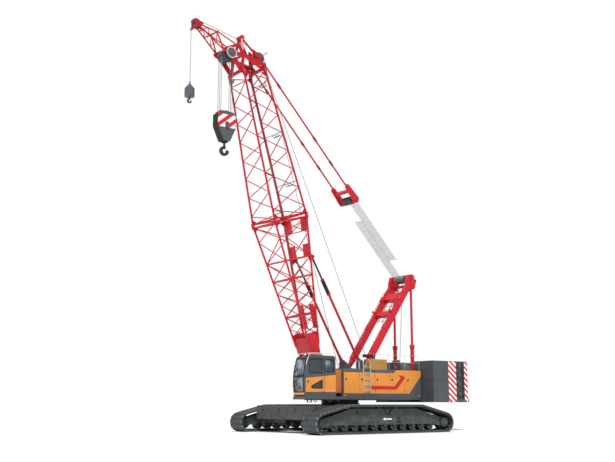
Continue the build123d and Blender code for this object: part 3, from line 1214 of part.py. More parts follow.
def make_hook_block():
    """The main block: cap, two trapezoid cheeks and the weight between them, with the axle's nuts."""
    half, x = BLOCK_WIDTH / 2, HEAD_X
    shoulder_z = BLOCK_CAP_Z - BLOCK_SHOULDER
    cheek = [(x - half, BLOCK_CAP_Z), (x + half, BLOCK_CAP_Z), (x + half, shoulder_z),
             (x + 190, BLOCK_FOOT_Z), (x - 190, BLOCK_FOOT_Z), (x - half, shoulder_z)]
    y = BLOCK_THICK / 2
    pieces = [side_plate(cheek, (y - 60, y)), side_plate(cheek, (-y, -y + 60))]
    inner = [(x - half + 60, BLOCK_CAP_Z), (x + half - 60, BLOCK_CAP_Z), (x + half - 60, shoulder_z + 60),
             (x + 170, BLOCK_FOOT_Z + 60), (x - 170, BLOCK_FOOT_Z + 60), (x - half + 60, shoulder_z + 60)]
    pieces.append(side_plate(inner, (-y + 50, y - 50)))
    cap = [(x - half + 40, BLOCK_CAP_Z), (x + half - 40, BLOCK_CAP_Z), (x + half - 150, BLOCK_TOP_Z),
           (x - half + 150, BLOCK_TOP_Z)]
    pieces.append(side_plate(cap, (-y + 20, y - 20)))
    pieces.append(pin_y(x, shoulder_z, 95, (-y - 60, y + 60)))
    pieces.append(pin_z(x, 0, 130, (BLOCK_FOOT_Z - BLOCK_COLLAR, BLOCK_FOOT_Z + 80)))
    return join(pieces)


def make_hook(x, top_z, height, thick):
    """A single hook: a shank, and a bowl as a thick bent bar with an open throat."""
    outer = height * HOOK_BOWL
    bowl_z = top_z - height + outer
    inner = outer * HOOK_THROAT
    half = thick / 2
    body = pin_y(x, bowl_z, outer, (-half, half))
    body -= pin_y(x, bowl_z, inner, (-half - 1, half + 1))
    body -= block((x - outer - 1, x - 0.05 * outer), (-half - 1, half + 1), (bowl_z + 0.15 * outer, bowl_z + outer + 1))
    neck = block((x - half * 0.9, x + half * 0.9), (-half * 0.9, half * 0.9), (bowl_z + inner, top_z - 0.25 * height))
    shank = pin_z(x, 0, half * 0.8, (bowl_z + outer * 0.9, top_z))
    return join([body, neck, shank])


def make_aux_rope():
    return bar((AUX_ROPE_X, 0, AUX_TOP_Z), (AUX_ROPE_X, 0, TIP_AXLE[1]), ROPE_RADIUS, 0)


def make_aux_weight():
    """The auxiliary hook's round weight with its conical top."""
    cone = AUX_HEIGHT * 0.35
    profile = [(0, AUX_FOOT_Z), (AUX_RADIUS, AUX_FOOT_Z), (AUX_RADIUS, AUX_TOP_Z - cone), (60, AUX_TOP_Z),
               (0, AUX_TOP_Z)]
    face = Plane.XZ * make_face(Polyline(*profile, close=True))
    return Pos(AUX_ROPE_X, 0, 0) * revolve(face, axis=Axis.Z)


# ---------------------------------------------------------------- write every sub-part

def main():
    save("carbody", make_carbody())
    save("slew_ring", make_slew_ring())
    for name, sign in (("front", 1), ("rear", -1)):
        save(f"{name}_ballast", make_ballast(sign))
    for name, side in (("left", 1), ("right", -1)):
        y = side * TRACK_Y
        save(f"{name}_track", make_track(y))
        save(f"{name}_track_frame", make_track_frame(y))
        save(f"{name}_track_rollers", *make_rollers(y))
        save(f"{name}_idler", make_idler(y, side))
        save(f"{name}_sprocket", make_sprocket(y, side))
        save(f"{name}_house", make_house(side))
        save(f"{name}_counterweight", make_weight_stack(side))

    save("upper_frame", make_upper_frame())
    save("counterweight_tray", block((WEIGHT_REAR_X - TRAY_OVERHANG, WEIGHT_FRONT_X), (-WEIGHT_OUTER_Y, WEIGHT_OUTER_Y),
                                     (WEIGHT_FOOT_Z, WEIGHT_FOOT_Z + TRAY_THICK)))
    engine_y = (-HOUSE_OUTER_Y + ENGINE_GAP, -HOUSE_INNER_Y - ENGINE_GAP)
    save("engine_block", block(ENGINE_X, engine_y, (DECK_TOP_Z, ENGINE_TOP_Z)))
    save("hoist_winches", *(make_winch(x, WINCH_Z, HOIST_DRUM_RADIUS) for x in HOIST_WINCH_X))
    save("luffing_winch", make_winch(LUFFING_WINCH_X, WINCH_Z, LUFFING_DRUM_RADIUS))
    save("roof_box", make_roof_box())
    save("exhaust_pipe", make_exhaust_pipe())
    save("air_cleaner", *make_air_cleaner())
    save("access_ladder", make_ladder())
    save("cab_shell", make_cab_shell())
    save("cab_glass", *make_cab_glass())
    save("operator_seat", make_seat())
    save("cab_door", make_cab_door())
    save("cab_door_glass", *make_door_glass())

    save("gantry_front_legs", make_front_legs())
    save("gantry_back_legs", *make_back_legs())
    save("gantry_head", make_gantry_head())
    save("gantry_sheaves", *make_sheaves(Run(GANTRY_X, GANTRY_Z, 0), (0, 0), SUSPENSION_SHEAVE,
                                         SUSPENSION_SHEAVES, SUSPENSION_PITCH, 60))

    save("boom_base", make_boom_base())
    save("boom_top", make_boom_top())
    save("boom_head", make_boom_head())
    side_y = HEAD_PLATE_Y + HEAD_PLATE_THICK + SIDE_GAP + SHEAVE_THICK / 2
    save("head_sheaves", *make_sheaves(BOOM, HEAD_AXLE, HEAD_SHEAVE_RADIUS, HEAD_SHEAVES, HEAD_SHEAVE_PITCH, 70),
         sheave(BOOM, *HEAD_AXLE, SIDE_SHEAVE_RADIUS, side_y, SHEAVE_THICK, 70 + PIN_GAP))
    save("guide_sheaves", *make_sheaves(BOOM, GUIDE_AXLE, GUIDE_RADIUS, GUIDE_SHEAVES, GUIDE_PITCH, 45))
    save("tip_jib", make_tip_jib())
    save("jib_links", *make_jib_links())
    save("tip_sheave", sheave(Run(*TIP_AXLE, 0), 0, 0, TIP_SHEAVE_RADIUS, 0, SHEAVE_THICK, 40 + PIN_GAP))

    save("pendant_bars", *make_pendants())
    save("bridle", make_bridle())
    save("bridle_sheaves", *make_sheaves(LINE, (BRIDLE_RUN, 0), SUSPENSION_SHEAVE,
                                         SUSPENSION_SHEAVES, SUSPENSION_PITCH, 60))
    save("bridle_ropes", *make_rope_layer(BRIDLE_RUN, LINE_LENGTH - ROPE_SHORT, 1))
    save("gantry_ropes", *make_rope_layer(LINE_LENGTH, BRIDLE_RUN + ROPE_SHORT, -1))

    save("backstop_tubes", *make_stop_tubes())
    save("backstop_rods", *make_stop_rods())

    save("hoist_ropes", *make_hoist_ropes())
    save("hook_block", make_hook_block())
    save("main_hook", make_hook(HEAD_X, HOOK_TOP_Z, HOOK_HEIGHT, HOOK_THICK))
    save("aux_rope", make_aux_rope())
    save("aux_weight", make_aux_weight())
    save("aux_hook", make_hook(AUX_ROPE_X, AUX_HOOK_TOP_Z, AUX_HOOK_HEIGHT, AUX_HOOK_THICK))


if __name__ == "__main__":
    main()
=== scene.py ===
"""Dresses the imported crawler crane: finishes, running gear, houses, cab, gantry, boom, hooks and rigging."""

import json
import logging
import math
from dataclasses import dataclass, field
from enum import Enum
from typing import Callable, Iterable, Iterator, Sequence

import bpy
from mathutils import Matrix, Vector

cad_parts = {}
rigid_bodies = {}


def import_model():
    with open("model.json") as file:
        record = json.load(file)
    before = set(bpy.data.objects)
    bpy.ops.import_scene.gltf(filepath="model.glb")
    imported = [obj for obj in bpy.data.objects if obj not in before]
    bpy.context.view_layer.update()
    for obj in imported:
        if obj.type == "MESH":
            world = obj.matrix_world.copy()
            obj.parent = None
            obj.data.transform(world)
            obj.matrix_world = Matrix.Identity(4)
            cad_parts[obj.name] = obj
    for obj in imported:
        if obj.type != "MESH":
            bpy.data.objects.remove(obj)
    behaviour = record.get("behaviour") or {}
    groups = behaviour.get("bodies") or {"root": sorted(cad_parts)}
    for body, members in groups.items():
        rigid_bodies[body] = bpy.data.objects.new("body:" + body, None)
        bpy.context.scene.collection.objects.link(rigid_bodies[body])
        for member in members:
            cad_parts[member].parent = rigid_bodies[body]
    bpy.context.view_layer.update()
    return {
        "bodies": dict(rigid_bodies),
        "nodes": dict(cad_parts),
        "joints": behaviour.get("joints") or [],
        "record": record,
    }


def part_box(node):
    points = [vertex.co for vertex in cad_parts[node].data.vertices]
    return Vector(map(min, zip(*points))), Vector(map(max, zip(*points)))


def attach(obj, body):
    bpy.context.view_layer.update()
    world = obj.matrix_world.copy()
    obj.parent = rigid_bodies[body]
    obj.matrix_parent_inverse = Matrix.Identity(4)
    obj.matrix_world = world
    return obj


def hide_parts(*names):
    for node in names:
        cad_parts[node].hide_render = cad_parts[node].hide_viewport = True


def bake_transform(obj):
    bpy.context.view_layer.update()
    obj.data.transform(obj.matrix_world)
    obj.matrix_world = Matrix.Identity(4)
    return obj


LOG = logging.getLogger("crane")
Colour = tuple[float, float, float]
Point = Sequence[float]
Solid = bpy.types.Object
Pieces = Iterable[Solid]
GroupBuilder = Callable[[str], bpy.types.NodeTree]
SIDES = (-1, 1)                     # the right side and the left one
HAND = {1: "left", -1: "right"}
GANTRY_HEAD = (-4.49, 8.3)          # X and Z of the gantry's upper axle


class Axis(Enum):
    """A direction of the crane's frame, with the order of the two others."""

    X = (0, 1, 2)
    Y = (1, 0, 2)
    Z = (2, 0, 1)

    def place(self, along: float, first: float, second: float) -> Vector:
        """A point from its place along this axis and on the two others.

        Args:
            along: the place along this axis.
            first: the place on the first of the others.
            second: the place on the second.

        Returns:
            The point.
        """
        point = Vector((0, 0, 0))
        for index, value in zip(self.value, (along, first, second)):
            point[index] = value
        return point


class Body(str, Enum):
    """The moving bodies of the crane that pieces ride on."""

    UNDER = "undercarriage"
    UPPER = "upperworks"
    DOOR = "cab_door"
    BOOM = "boom"
    PENDANTS = "pendants"
    TUBES = "backstop_tubes"
    RODS = "backstop_rods"
    BLOCK = "main_block"
    HOOK = "main_hook"
    AUX = "aux_block"
    AUX_HOOK = "aux_hook"


# ---- finishes

class Graph:
    """A shader node tree, filled and linked with few words."""

    def __init__(self, tree: bpy.types.NodeTree) -> None:
        """Starts on an empty tree.

        Args:
            tree: the tree to fill.
        """
        self.tree = tree
        tree.nodes.clear()

    def add(self, kind: str, inputs: dict | None = None, **settings) -> bpy.types.Node:
        """Adds a node.

        Args:
            kind: the node's type, without the leading ShaderNode.
            inputs: a constant or another node's socket for each named or numbered input.
            settings: the node's own properties.

        Returns:
            The new node.
        """
        node = self.tree.nodes.new(kind if kind.startswith("Node") else "ShaderNode" + kind)
        for key, value in settings.items():
            setattr(node, key, value)
        for key, value in (inputs or {}).items():
            if isinstance(value, bpy.types.NodeSocket):
                self.tree.links.new(value, node.inputs[key])
            else:
                node.inputs[key].default_value = value
        return node

    def math(self, operation: str, *values, clamp: bool = False) -> bpy.types.NodeSocket:
        """The result of one Math node on constants or sockets."""
        node = self.add("Math", dict(enumerate(values)), operation=operation, use_clamp=clamp)
        return node.outputs[0]

    def ramp(self, value: bpy.types.NodeSocket, low: float, high: float) -> bpy.types.NodeSocket:
        """A value as 0 below one limit and 1 above the other, smooth between them.

        Args:
            value: the value's socket.
            low: the limit that gives 0.
            high: the limit that gives 1.

        Returns:
            The smoothed value.
        """
        node = self.add("MapRange", {"Value": value, "From Min": low, "From Max": high},
                        interpolation_type="SMOOTHSTEP")
        return node.outputs[0]

    def mix(self, mask: bpy.types.NodeSocket | float, first, second) -> bpy.types.NodeSocket:
        """A colour between two others, by a mask."""
        node = self.add("Mix", {0: mask, 6: first, 7: second}, data_type="RGBA")
        return node.outputs[2]

    def noise(self, vector: bpy.types.NodeSocket, scale: float, detail: float = 3.0,
              roughness: float = 0.55) -> bpy.types.NodeSocket:
        """A noise value at a place.

        Args:
            vector: the place.
            scale: how fine the noise is.
            detail: how many finer layers it has.
            roughness: how strong they are.

        Returns:
            The noise value.
        """
        node = self.add("TexNoise", {"Vector": vector, "Scale": scale,
                                     "Detail": detail, "Roughness": roughness})
        return node.outputs[0]


class Effect(Enum):
    """The surface effects that several finishes share, each one node group."""

    MOTTLE = "tone_mottle"
    GRIME = "settled_grime"
    WEAR = "edge_wear"
    GRAIN = "fine_grain"

    def group(self) -> bpy.types.NodeTree:
        """This effect's node group, built at its first use."""
        return bpy.data.node_groups.get(self.value) or EFFECT_BUILDERS[self](self.value)


def new_group(name: str, inputs: dict[str, float]) -> tuple[bpy.types.NodeTree, Graph, bpy.types.Node]:
    """Starts a node group with a Vector, named number inputs and a Mask output.

    Args:
        name: the group's name.
        inputs: the default of each number.

    Returns:
        The group, its graph and its input node.
    """
    tree = bpy.data.node_groups.new(name, "ShaderNodeTree")
    tree.interface.new_socket("Vector", in_out="INPUT", socket_type="NodeSocketVector")
    for key, value in inputs.items():
        socket = tree.interface.new_socket(key, in_out="INPUT", socket_type="NodeSocketFloat")
        socket.default_value = value
    tree.interface.new_socket("Mask", in_out="OUTPUT", socket_type="NodeSocketFloat")
    graph = Graph(tree)
    return tree, graph, graph.add("NodeGroupInput")


def build_mottle(name: str) -> bpy.types.NodeTree:
    """Slow and quick changes of tone together, from 0 to 1.

    Args:
        name: the group's name.

    Returns:
        The node group.
    """
    tree, graph, source = new_group(name, {"Scale": 1.0})
    place = graph.add("VectorMath", {0: source.outputs["Vector"],
                                     3: source.outputs["Scale"]}, operation="SCALE")
    slow = graph.noise(place.outputs[0], 0.9, 3.0)
    quick = graph.noise(place.outputs[0], 14.0, 4.0)
    both = graph.math("ADD", graph.math("MULTIPLY", slow, 0.65), graph.math("MULTIPLY", quick, 0.35))
    graph.add("NodeGroupOutput", {"Mask": graph.ramp(both, 0.36, 0.64)})
    return tree


def build_grime(name: str) -> bpy.types.NodeTree:
    """Dust and run-down dirt: more of it low down, on ledges and in vertical streaks.

    Args:
        name: the group's name.

    Returns:
        The node group.
    """
    tree, graph, source = new_group(name, {"Height": 2.0, "Amount": 0.5})
    vector = source.outputs["Vector"]
    parts = graph.add("SeparateXYZ", {0: vector})
    low = graph.math("SUBTRACT", 1.0, graph.math("DIVIDE", parts.outputs[2],
                                                 source.outputs["Height"]), clamp=True)
    squeeze = graph.add("VectorMath", {0: vector, 1: (9.0, 9.0, 0.7)}, operation="MULTIPLY")
    streak = graph.ramp(graph.noise(squeeze.outputs[0], 1.0, 3.0), 0.5, 0.78)
    spread = graph.ramp(graph.noise(vector, 3.0, 5.0, 0.65), 0.42, 0.72)
    up = graph.add("SeparateXYZ", {0: graph.add("NewGeometry").outputs["Normal"]}).outputs[2]
    ledge = graph.math("MULTIPLY", graph.ramp(up, 0.55, 0.95), 0.45)
    dirt = graph.math("ADD", graph.math("MULTIPLY", low, spread), graph.math("MULTIPLY", streak, 0.35))
    dirt = graph.math("ADD", dirt, graph.math("MULTIPLY", ledge, spread))
    graph.add("NodeGroupOutput", {"Mask": graph.math("MULTIPLY", dirt, source.outputs["Amount"], clamp=True)})
    return tree


def build_wear(name: str) -> bpy.types.NodeTree:
    """Rubbed edges and small chips, where the rounded normal leaves the true one.

    Args:
        name: the group's name.

    Returns:
        The node group.
    """
    tree, graph, source = new_group(name, {"Amount": 0.5})
    rounded = graph.add("Bevel", {"Radius": 0.018}, samples=4)
    plain = graph.add("NewGeometry")
    same = graph.add("VectorMath", {0: rounded.outputs[0],
                                    1: plain.outputs["Normal"]}, operation="DOT_PRODUCT")
    edge = graph.ramp(graph.math("SUBTRACT", 1.0, same.outputs["Value"]), 0.02, 0.2)
    broken = graph.ramp(graph.noise(source.outputs["Vector"], 22.0, 5.0, 0.7), 0.46, 0.6)
    chips = graph.ramp(graph.noise(source.outputs["Vector"], 9.0, 6.0, 0.75), 0.7, 0.74)
    mask = graph.math("ADD", graph.math("MULTIPLY", edge, broken), graph.math("MULTIPLY", chips, 0.6))
    graph.add("NodeGroupOutput", {"Mask": graph.math("MULTIPLY", mask, source.outputs["Amount"], clamp=True)})
    return tree


def build_grain(name: str) -> bpy.types.NodeTree:
    """A fine raised grain, for orange peel on paint and the skin of a casting.

    Args:
        name: the group's name.

    Returns:
        The node group.
    """
    tree, graph, source = new_group(name, {"Scale": 120.0})
    place = graph.add("VectorMath", {0: source.outputs["Vector"],
                                     3: source.outputs["Scale"]}, operation="SCALE")
    graph.add("NodeGroupOutput", {"Mask": graph.noise(place.outputs[0], 1.0, 3.0)})
    return tree


EFFECT_BUILDERS: dict[Effect, GroupBuilder] = {Effect.MOTTLE: build_mottle, Effect.GRIME: build_grime,
                                               Effect.WEAR: build_wear, Effect.GRAIN: build_grain}


@dataclass(frozen=True)
class Finish:
    """A surface: its colours, gloss, dirt, wear and grain."""

    name: str
    colour: Colour
    roughness: float = 0.42
    metallic: float = 0.0
    coat: float = 0.0
    gloss: float = 0.25         # level of the plain reflection
    tone: float = 0.12          # how far the mottle darkens the colour
    dirt: float = 0.35
    dirt_height: float = 1.6
    wear: float = 0.35
    under: Colour = (0.16, 0.15, 0.14)
    dust: Colour = (0.27, 0.24, 0.2)
    grain: float = 0.0006       # depth of the grain, in metres
    grain_scale: float = 160.0

    def material(self) -> bpy.types.Material:
        """This finish's material, built at its first use."""
        return bpy.data.materials.get(self.name) or self.build()

    def effect(self, graph: Graph, effect: Effect, vector, **numbers) -> bpy.types.NodeSocket:
        """Places one shared effect in this finish and returns its mask.

        Args:
            graph: the material's graph.
            effect: the shared effect.
            vector: the place.
            numbers: the effect's own values.

        Returns:
            The effect's mask.
        """
        node = graph.add("Group", node_tree=effect.group())
        graph.tree.links.new(vector, node.inputs["Vector"])
        for key, value in numbers.items():
            node.inputs[key.capitalize()].default_value = value
        return node.outputs["Mask"]

    def base(self, graph: Graph, vector) -> bpy.types.NodeSocket:
        """The clean colour at a place; a patterned finish has its own.

        Args:
            graph: the material's graph.
            vector: the place that is coloured.

        Returns:
            The colour.
        """
        colour = graph.add("RGB")
        colour.outputs[0].default_value = (*self.colour, 1.0)
        return colour.outputs[0]

    def height(self, graph: Graph, vector) -> bpy.types.NodeSocket:
        """The height that the bump follows."""
        return self.effect(graph, Effect.GRAIN, vector, scale=self.grain_scale)

    def build(self) -> bpy.types.Material:
        """Makes the material.

        Returns:
            The new material.
        """
        material = bpy.data.materials.new(self.name)
        material.use_nodes = True
        material.diffuse_color = (*self.colour, 1.0)
        graph = Graph(material.node_tree)
        vector = graph.add("TexCoord").outputs["Object"]
        mottle = self.effect(graph, Effect.MOTTLE, vector, scale=1.0)
        tone = graph.math("SUBTRACT", 1.0, graph.math("MULTIPLY", mottle, self.tone))
        clean = graph.add("Mix", {0: 1.0, 6: self.base(graph, vector), 7: (1.0, 1.0, 1.0, 1.0)},
                          data_type="RGBA", blend_type="MULTIPLY")
        shade = graph.add("CombineColor", {0: tone, 1: tone, 2: tone})
        graph.tree.links.new(shade.outputs[0], clean.inputs[7])
        colour = clean.outputs[2]
        rough = graph.math("ADD", self.roughness, graph.math("MULTIPLY", mottle, 0.08))
        if self.wear:
            worn = self.effect(graph, Effect.WEAR, vector, amount=self.wear)
            colour = graph.mix(worn, colour, (*self.under, 1.0))
        if self.dirt:
            grime = self.effect(graph, Effect.GRIME, vector, height=self.dirt_height, amount=self.dirt)
            colour = graph.mix(grime, colour, (*self.dust, 1.0))
            rough = graph.math("ADD", rough, graph.math("MULTIPLY", grime, 0.4), clamp=True)
        bump = graph.add("Bump", {"Height": self.height(graph, vector),
                                  "Distance": self.grain, "Strength": 0.7})
        shader = graph.add("BsdfPrincipled", {"Base Color": colour,
                                              "Roughness": rough, "Normal": bump.outputs[0]})
        shader.inputs["Metallic"].default_value = self.metallic
        shader.inputs["Coat Weight"].default_value = self.coat
        shader.inputs["Coat Roughness"].default_value = 0.12
        shader.inputs["Specular IOR Level"].default_value = self.gloss
        graph.add("OutputMaterial", {"Surface": shader.outputs[0]})
        return material


@dataclass(frozen=True)
class Striped(Finish):
    """Slanted warning stripes in two colours."""

    second: Colour = (0.8, 0.8, 0.8)
    slope: tuple[float, float, float] = (1.0, 1.0, 1.0)
    pitch: float = 0.4

    def base(self, graph: Graph, vector) -> bpy.types.NodeSocket:
        """One colour or the other, by the place along the stripes' slope.

        Args:
            graph: the material's graph.
            vector: the place that is coloured.

        Returns:
            The colour.
        """
        along = graph.add("VectorMath", {0: vector, 1: self.slope}, operation="DOT_PRODUCT").outputs["Value"]
        turn = graph.math("FRACT", graph.math("DIVIDE", along, self.pitch))
        mask = graph.ramp(graph.math("ABSOLUTE", graph.math("SUBTRACT", turn, 0.5)), 0.245, 0.255)
        return graph.mix(mask, (*self.colour, 1.0), (*self.second, 1.0))


@dataclass(frozen=True)
class TwoTone(Finish):
    """Two paints that meet at a line which rises or falls along the crane."""

    lower: Colour = (0.8, 0.3, 0.05)
    level: float = 2.8
    rise: float = 0.0           # change of the line's height per metre of X
    foot: float = 0.0           # the lower paint starts at this height
    front: float = 3.43         # and ends at this X
    middle: float = 1.13        # it is on the two sides only, this far from this Y
    reach: float = 0.425

    def base(self, graph: Graph, vector) -> bpy.types.NodeSocket:
        """The lower paint between its foot and the line, and the upper one elsewhere.

        Args:
            graph: the material's graph.
            vector: the place that is coloured.

        Returns:
            The colour.
        """
        place = graph.add("SeparateXYZ", {0: vector}).outputs
        line = graph.math("ADD", self.level, graph.math("MULTIPLY", place[0], self.rise))
        below = graph.math("LESS_THAN", place[2], line)
        above = graph.math("GREATER_THAN", place[2], self.foot)
        mask = graph.math("MULTIPLY", below, above)
        mask = graph.math("MULTIPLY", mask, graph.math("LESS_THAN", place[0], self.front))
        across = graph.math("ABSOLUTE", graph.math("SUBTRACT", place[1], self.middle))
        mask = graph.math("MULTIPLY", mask, graph.math("GREATER_THAN", across, self.reach))
        return graph.mix(mask, (*self.colour, 1.0), (*self.lower, 1.0))


@dataclass(frozen=True)
class Rope(Finish):
    """Wire rope: bright strands laid at a slant, with grease between them."""

    lay: Point = (0.0, 0.0, 1.0)
    strand: float = 0.035       # strand pitch along the rope

    def strands(self, graph: Graph, vector) -> bpy.types.NodeSocket:
        """The strands' height at a place.

        Args:
            graph: the material's graph.
            vector: the place.

        Returns:
            The height, 0 between the strands and 1 on them.
        """
        along = graph.add("VectorMath", {0: vector, 1: self.lay}, operation="DOT_PRODUCT").outputs["Value"]
        place = graph.add("SeparateXYZ", {0: vector}).outputs
        across = graph.math("MULTIPLY", graph.math("ADD", place[0], place[1]), 0.9)
        turn = graph.math("DIVIDE", graph.math("ADD", along, across), self.strand)
        return graph.math("ABSOLUTE", graph.math("SINE", graph.math("MULTIPLY", turn, math.pi)))

    def base(self, graph: Graph, vector) -> bpy.types.NodeSocket:
        """Bright crowns and dark valleys."""
        return graph.mix(self.strands(graph, vector), (0.06, 0.055, 0.05, 1.0), (*self.colour, 1.0))

    def height(self, graph: Graph, vector) -> bpy.types.NodeSocket:
        """The strands themselves."""
        return self.strands(graph, vector)


@dataclass(frozen=True)
class Glass:
    """Tinted window glass, with a painted reflection in its colour."""

    name: str
    tint: Colour = (0.1, 0.13, 0.15)
    dust_and_reflection: Colour = (0.72, 0.77, 0.86)
    door: tuple[float, float] = (2.8, 0.43)     # the door's pane is turned away from the light and gets no painted reflection

    def material(self) -> bpy.types.Material:
        """The glass material, with faint dust that roughens and lightens it, and patches of painted reflection
        in its colour.
        """
        found = bpy.data.materials.get(self.name)
        if found:
            return found
        material = bpy.data.materials.new(self.name)
        material.use_nodes = True
        graph = Graph(material.node_tree)
        vector = graph.add("TexCoord").outputs["Object"]
        film = graph.ramp(graph.noise(vector, 5.0, 4.0), 0.5, 0.8)
        place = graph.add("SeparateXYZ", {0: vector}).outputs
        beside = graph.math("ABSOLUTE", graph.math("SUBTRACT", place[0], self.door[0]))
        # painted reflection: noise patches of a pale colour, none on the door's pane
        painted_reflection_mask = graph.math("MULTIPLY", graph.ramp(graph.noise(vector, 1.7, 3.0), 0.42, 0.6),
                         graph.math("GREATER_THAN", beside, self.door[1]))
        share = graph.math("ADD", graph.math("MULTIPLY", painted_reflection_mask, 0.75), graph.math("MULTIPLY", film, 0.12))
        colour = graph.mix(share, (*self.tint, 1.0), (*self.dust_and_reflection, 1.0))
        rough = graph.math("ADD", 0.02, graph.math("MULTIPLY", film, 0.06))
        shader = graph.add("BsdfPrincipled", {"Base Color": colour, "Roughness": rough})
        shader.inputs["Transmission Weight"].default_value = 0.6
        shader.inputs["IOR"].default_value = 1.45
        graph.add("OutputMaterial", {"Surface": shader.outputs[0]})
        return material


RED = Finish("red_gloss_paint", (0.56, 0.012, 0.024), 0.3, coat=0.1, tone=0.16, dirt=0.18, dirt_height=3.0,
             wear=0.22, under=(0.3, 0.03, 0.03))
# A darker copy of the red paint for the boom's upper parts, jib, pendants and backstop tubes: painted shade.
SHADED_BOOM_RED = Finish("shaded_boom_red_paint", (0.46, 0.01, 0.02), 0.32, coat=0.1, tone=0.16, dirt=0.2, wear=0.22,
                  under=(0.3, 0.03, 0.03))
DEEP_RED = Finish("deep_red_paint", (0.36, 0.01, 0.018), 0.35, coat=0.1, dirt=0.2, wear=0.2)
ORANGE = Finish("orange_gloss_paint", (0.78, 0.29, 0.045), 0.3, coat=0.1, tone=0.1, dirt=0.22,
                dirt_height=3.0, wear=0.2, under=(0.35, 0.2, 0.1))
# A darker orange for the recess ahead of the left house: painted shade.
SHADED_ORANGE = Finish("shaded_orange_paint", (0.5, 0.15, 0.025), 0.4, coat=0.1, dirt=0.3, wear=0.2)
KHAKI = Finish("khaki_paint", (0.45, 0.22, 0.05), 0.5, dirt=0.35, wear=0.2)
GREY = Finish("house_grey_paint", (0.083, 0.09, 0.1), 0.42, coat=0.15, dirt=0.3, dirt_height=2.4)
FRAME_GREY = Finish("frame_grey_paint", (0.052, 0.065, 0.065), 0.5, dirt=0.35, dirt_height=1.7)
BALLAST_GREY = Finish("ballast_grey_paint", (0.052, 0.058, 0.053), 0.55, dirt=0.28, dirt_height=2.0)
WEIGHT_GREY = Finish("weight_grey_paint", (0.066, 0.077, 0.087), 0.48, dirt=0.3, dirt_height=3.0)
CAB_GREY = Finish("cab_grey_paint", (0.075, 0.085, 0.095), 0.3, coat=0.25, dirt=0.15, wear=0.15)
CAB_TWO_TONE = TwoTone("cab_two_tone_paint", (0.075, 0.085, 0.095), 0.3, coat=0.25, dirt=0.15, wear=0.15,
                       lower=(0.78, 0.29, 0.045), level=3.0, rise=-0.098, foot=2.0)
BLACK = Finish("black_satin_paint", (0.016, 0.017, 0.018), 0.5, dirt=0.3, wear=0.3, under=(0.2, 0.2, 0.2))
RUBBER = Finish("black_rubber", (0.014, 0.014, 0.015), 0.75, dirt=0.25, wear=0.0,
                grain=0.0004, grain_scale=300.0)
SHOE_STEEL = Finish("shoe_steel", (0.08, 0.09, 0.105), 0.55, metallic=0.2, tone=0.35, dirt=0.35,
                    dirt_height=0.9, wear=0.6, under=(0.2, 0.21, 0.23), dust=(0.12, 0.1, 0.075),
                    grain=0.0025, grain_scale=60.0)
CHAIN_STEEL = Finish("chain_steel", (0.022, 0.023, 0.024), 0.6, metallic=0.4, tone=0.3, dirt=0.5, wear=0.5,
                     under=(0.2, 0.2, 0.2), dust=(0.1, 0.085, 0.07), grain=0.0025, grain_scale=60.0)
# Lighter steel on the shoes' worn ends: a painted highlight.
EDGE_HIGHLIGHT_STEEL = Finish("shoe_edge_highlight_steel", (0.26, 0.275, 0.28), 0.5, metallic=0.3,
                    dirt=0.3, dirt_height=0.9, wear=0.3)
WHEEL_STEEL = Finish("wheel_steel", (0.03, 0.034, 0.037), 0.5, metallic=0.3, dirt=0.4, wear=0.6,
                     under=(0.3, 0.3, 0.3), grain=0.0012, grain_scale=90.0)
BRIGHT_STEEL = Finish("bright_steel", (0.5, 0.5, 0.51), 0.32, metallic=0.9, tone=0.2, dirt=0.2, wear=0.0)
LIGHT_METAL = Finish("light_metal", (0.56, 0.58, 0.58), 0.45, metallic=0.3, dirt=0.25, wear=0.15)
CAST_IRON = Finish("cast_iron", (0.045, 0.047, 0.05), 0.55, metallic=0.4, tone=0.25, dirt=0.3, wear=0.5,
                   under=(0.25, 0.25, 0.25), grain=0.002, grain_scale=80.0)
SHEAVE = Finish("sheave_steel", (0.02, 0.023, 0.023), 0.5, metallic=0.85, dirt=0.1, wear=0.3,
                under=(0.2, 0.2, 0.2))
BLOCK_GREY = Finish("block_grey_paint", (0.08, 0.093, 0.108), 0.42, dirt=0.12, wear=0.35)
BLOCK_STRIPES = Striped("block_stripes", (0.62, 0.02, 0.03), 0.4, dirt=0.1, wear=0.2,
                        second=(0.78, 0.78, 0.78), slope=(0.85, 0.0, 1.0), pitch=0.5)
SIDE_STRIPES = Striped("side_stripes", (0.62, 0.02, 0.03), 0.4, dirt=0.12, dirt_height=2.2, wear=0.15,
                       second=(0.82, 0.82, 0.82), slope=(-0.8, 0.0, 1.0), pitch=0.3)
REAR_STRIPES = Striped("rear_stripes", (0.62, 0.02, 0.03), 0.4, dirt=0.12, dirt_height=2.2, wear=0.15,
                       second=(0.82, 0.82, 0.82), slope=(0.0, 0.8, 1.0), pitch=0.3)
WHITE = Finish("white_paint", (0.8, 0.8, 0.79), 0.45, dirt=0.15, wear=0.1)
BAND_RED = Finish("band_red_paint", (0.56, 0.02, 0.02), 0.35, coat=0.1, dirt=0.2, wear=0.1)
HOIST_ROPE = Rope("hoist_rope", (0.4, 0.4, 0.4), 0.4, metallic=0.6, dirt=0.0, wear=0.0, grain=0.003)
STAY_ROPE = Rope("suspension_rope", (0.46, 0.46, 0.46), 0.4, metallic=0.6, dirt=0.0, wear=0.0, grain=0.003,
                 lay=(0.68, 0.0, 0.73))
SEAT_CLOTH = Finish("seat_cloth", (0.02, 0.021, 0.024), 0.9, tone=0.2, dirt=0.0, wear=0.0, grain=0.002,
                    grain_scale=420.0)
AMBER = Finish("amber_lens", (0.9, 0.36, 0.03), 0.18, coat=0.6, dirt=0.0, wear=0.0)
LAMP = Finish("lamp_lens", (0.75, 0.77, 0.78), 0.1, coat=0.6, dirt=0.05, wear=0.0)
CAB_GLASS = Glass("window_glass")

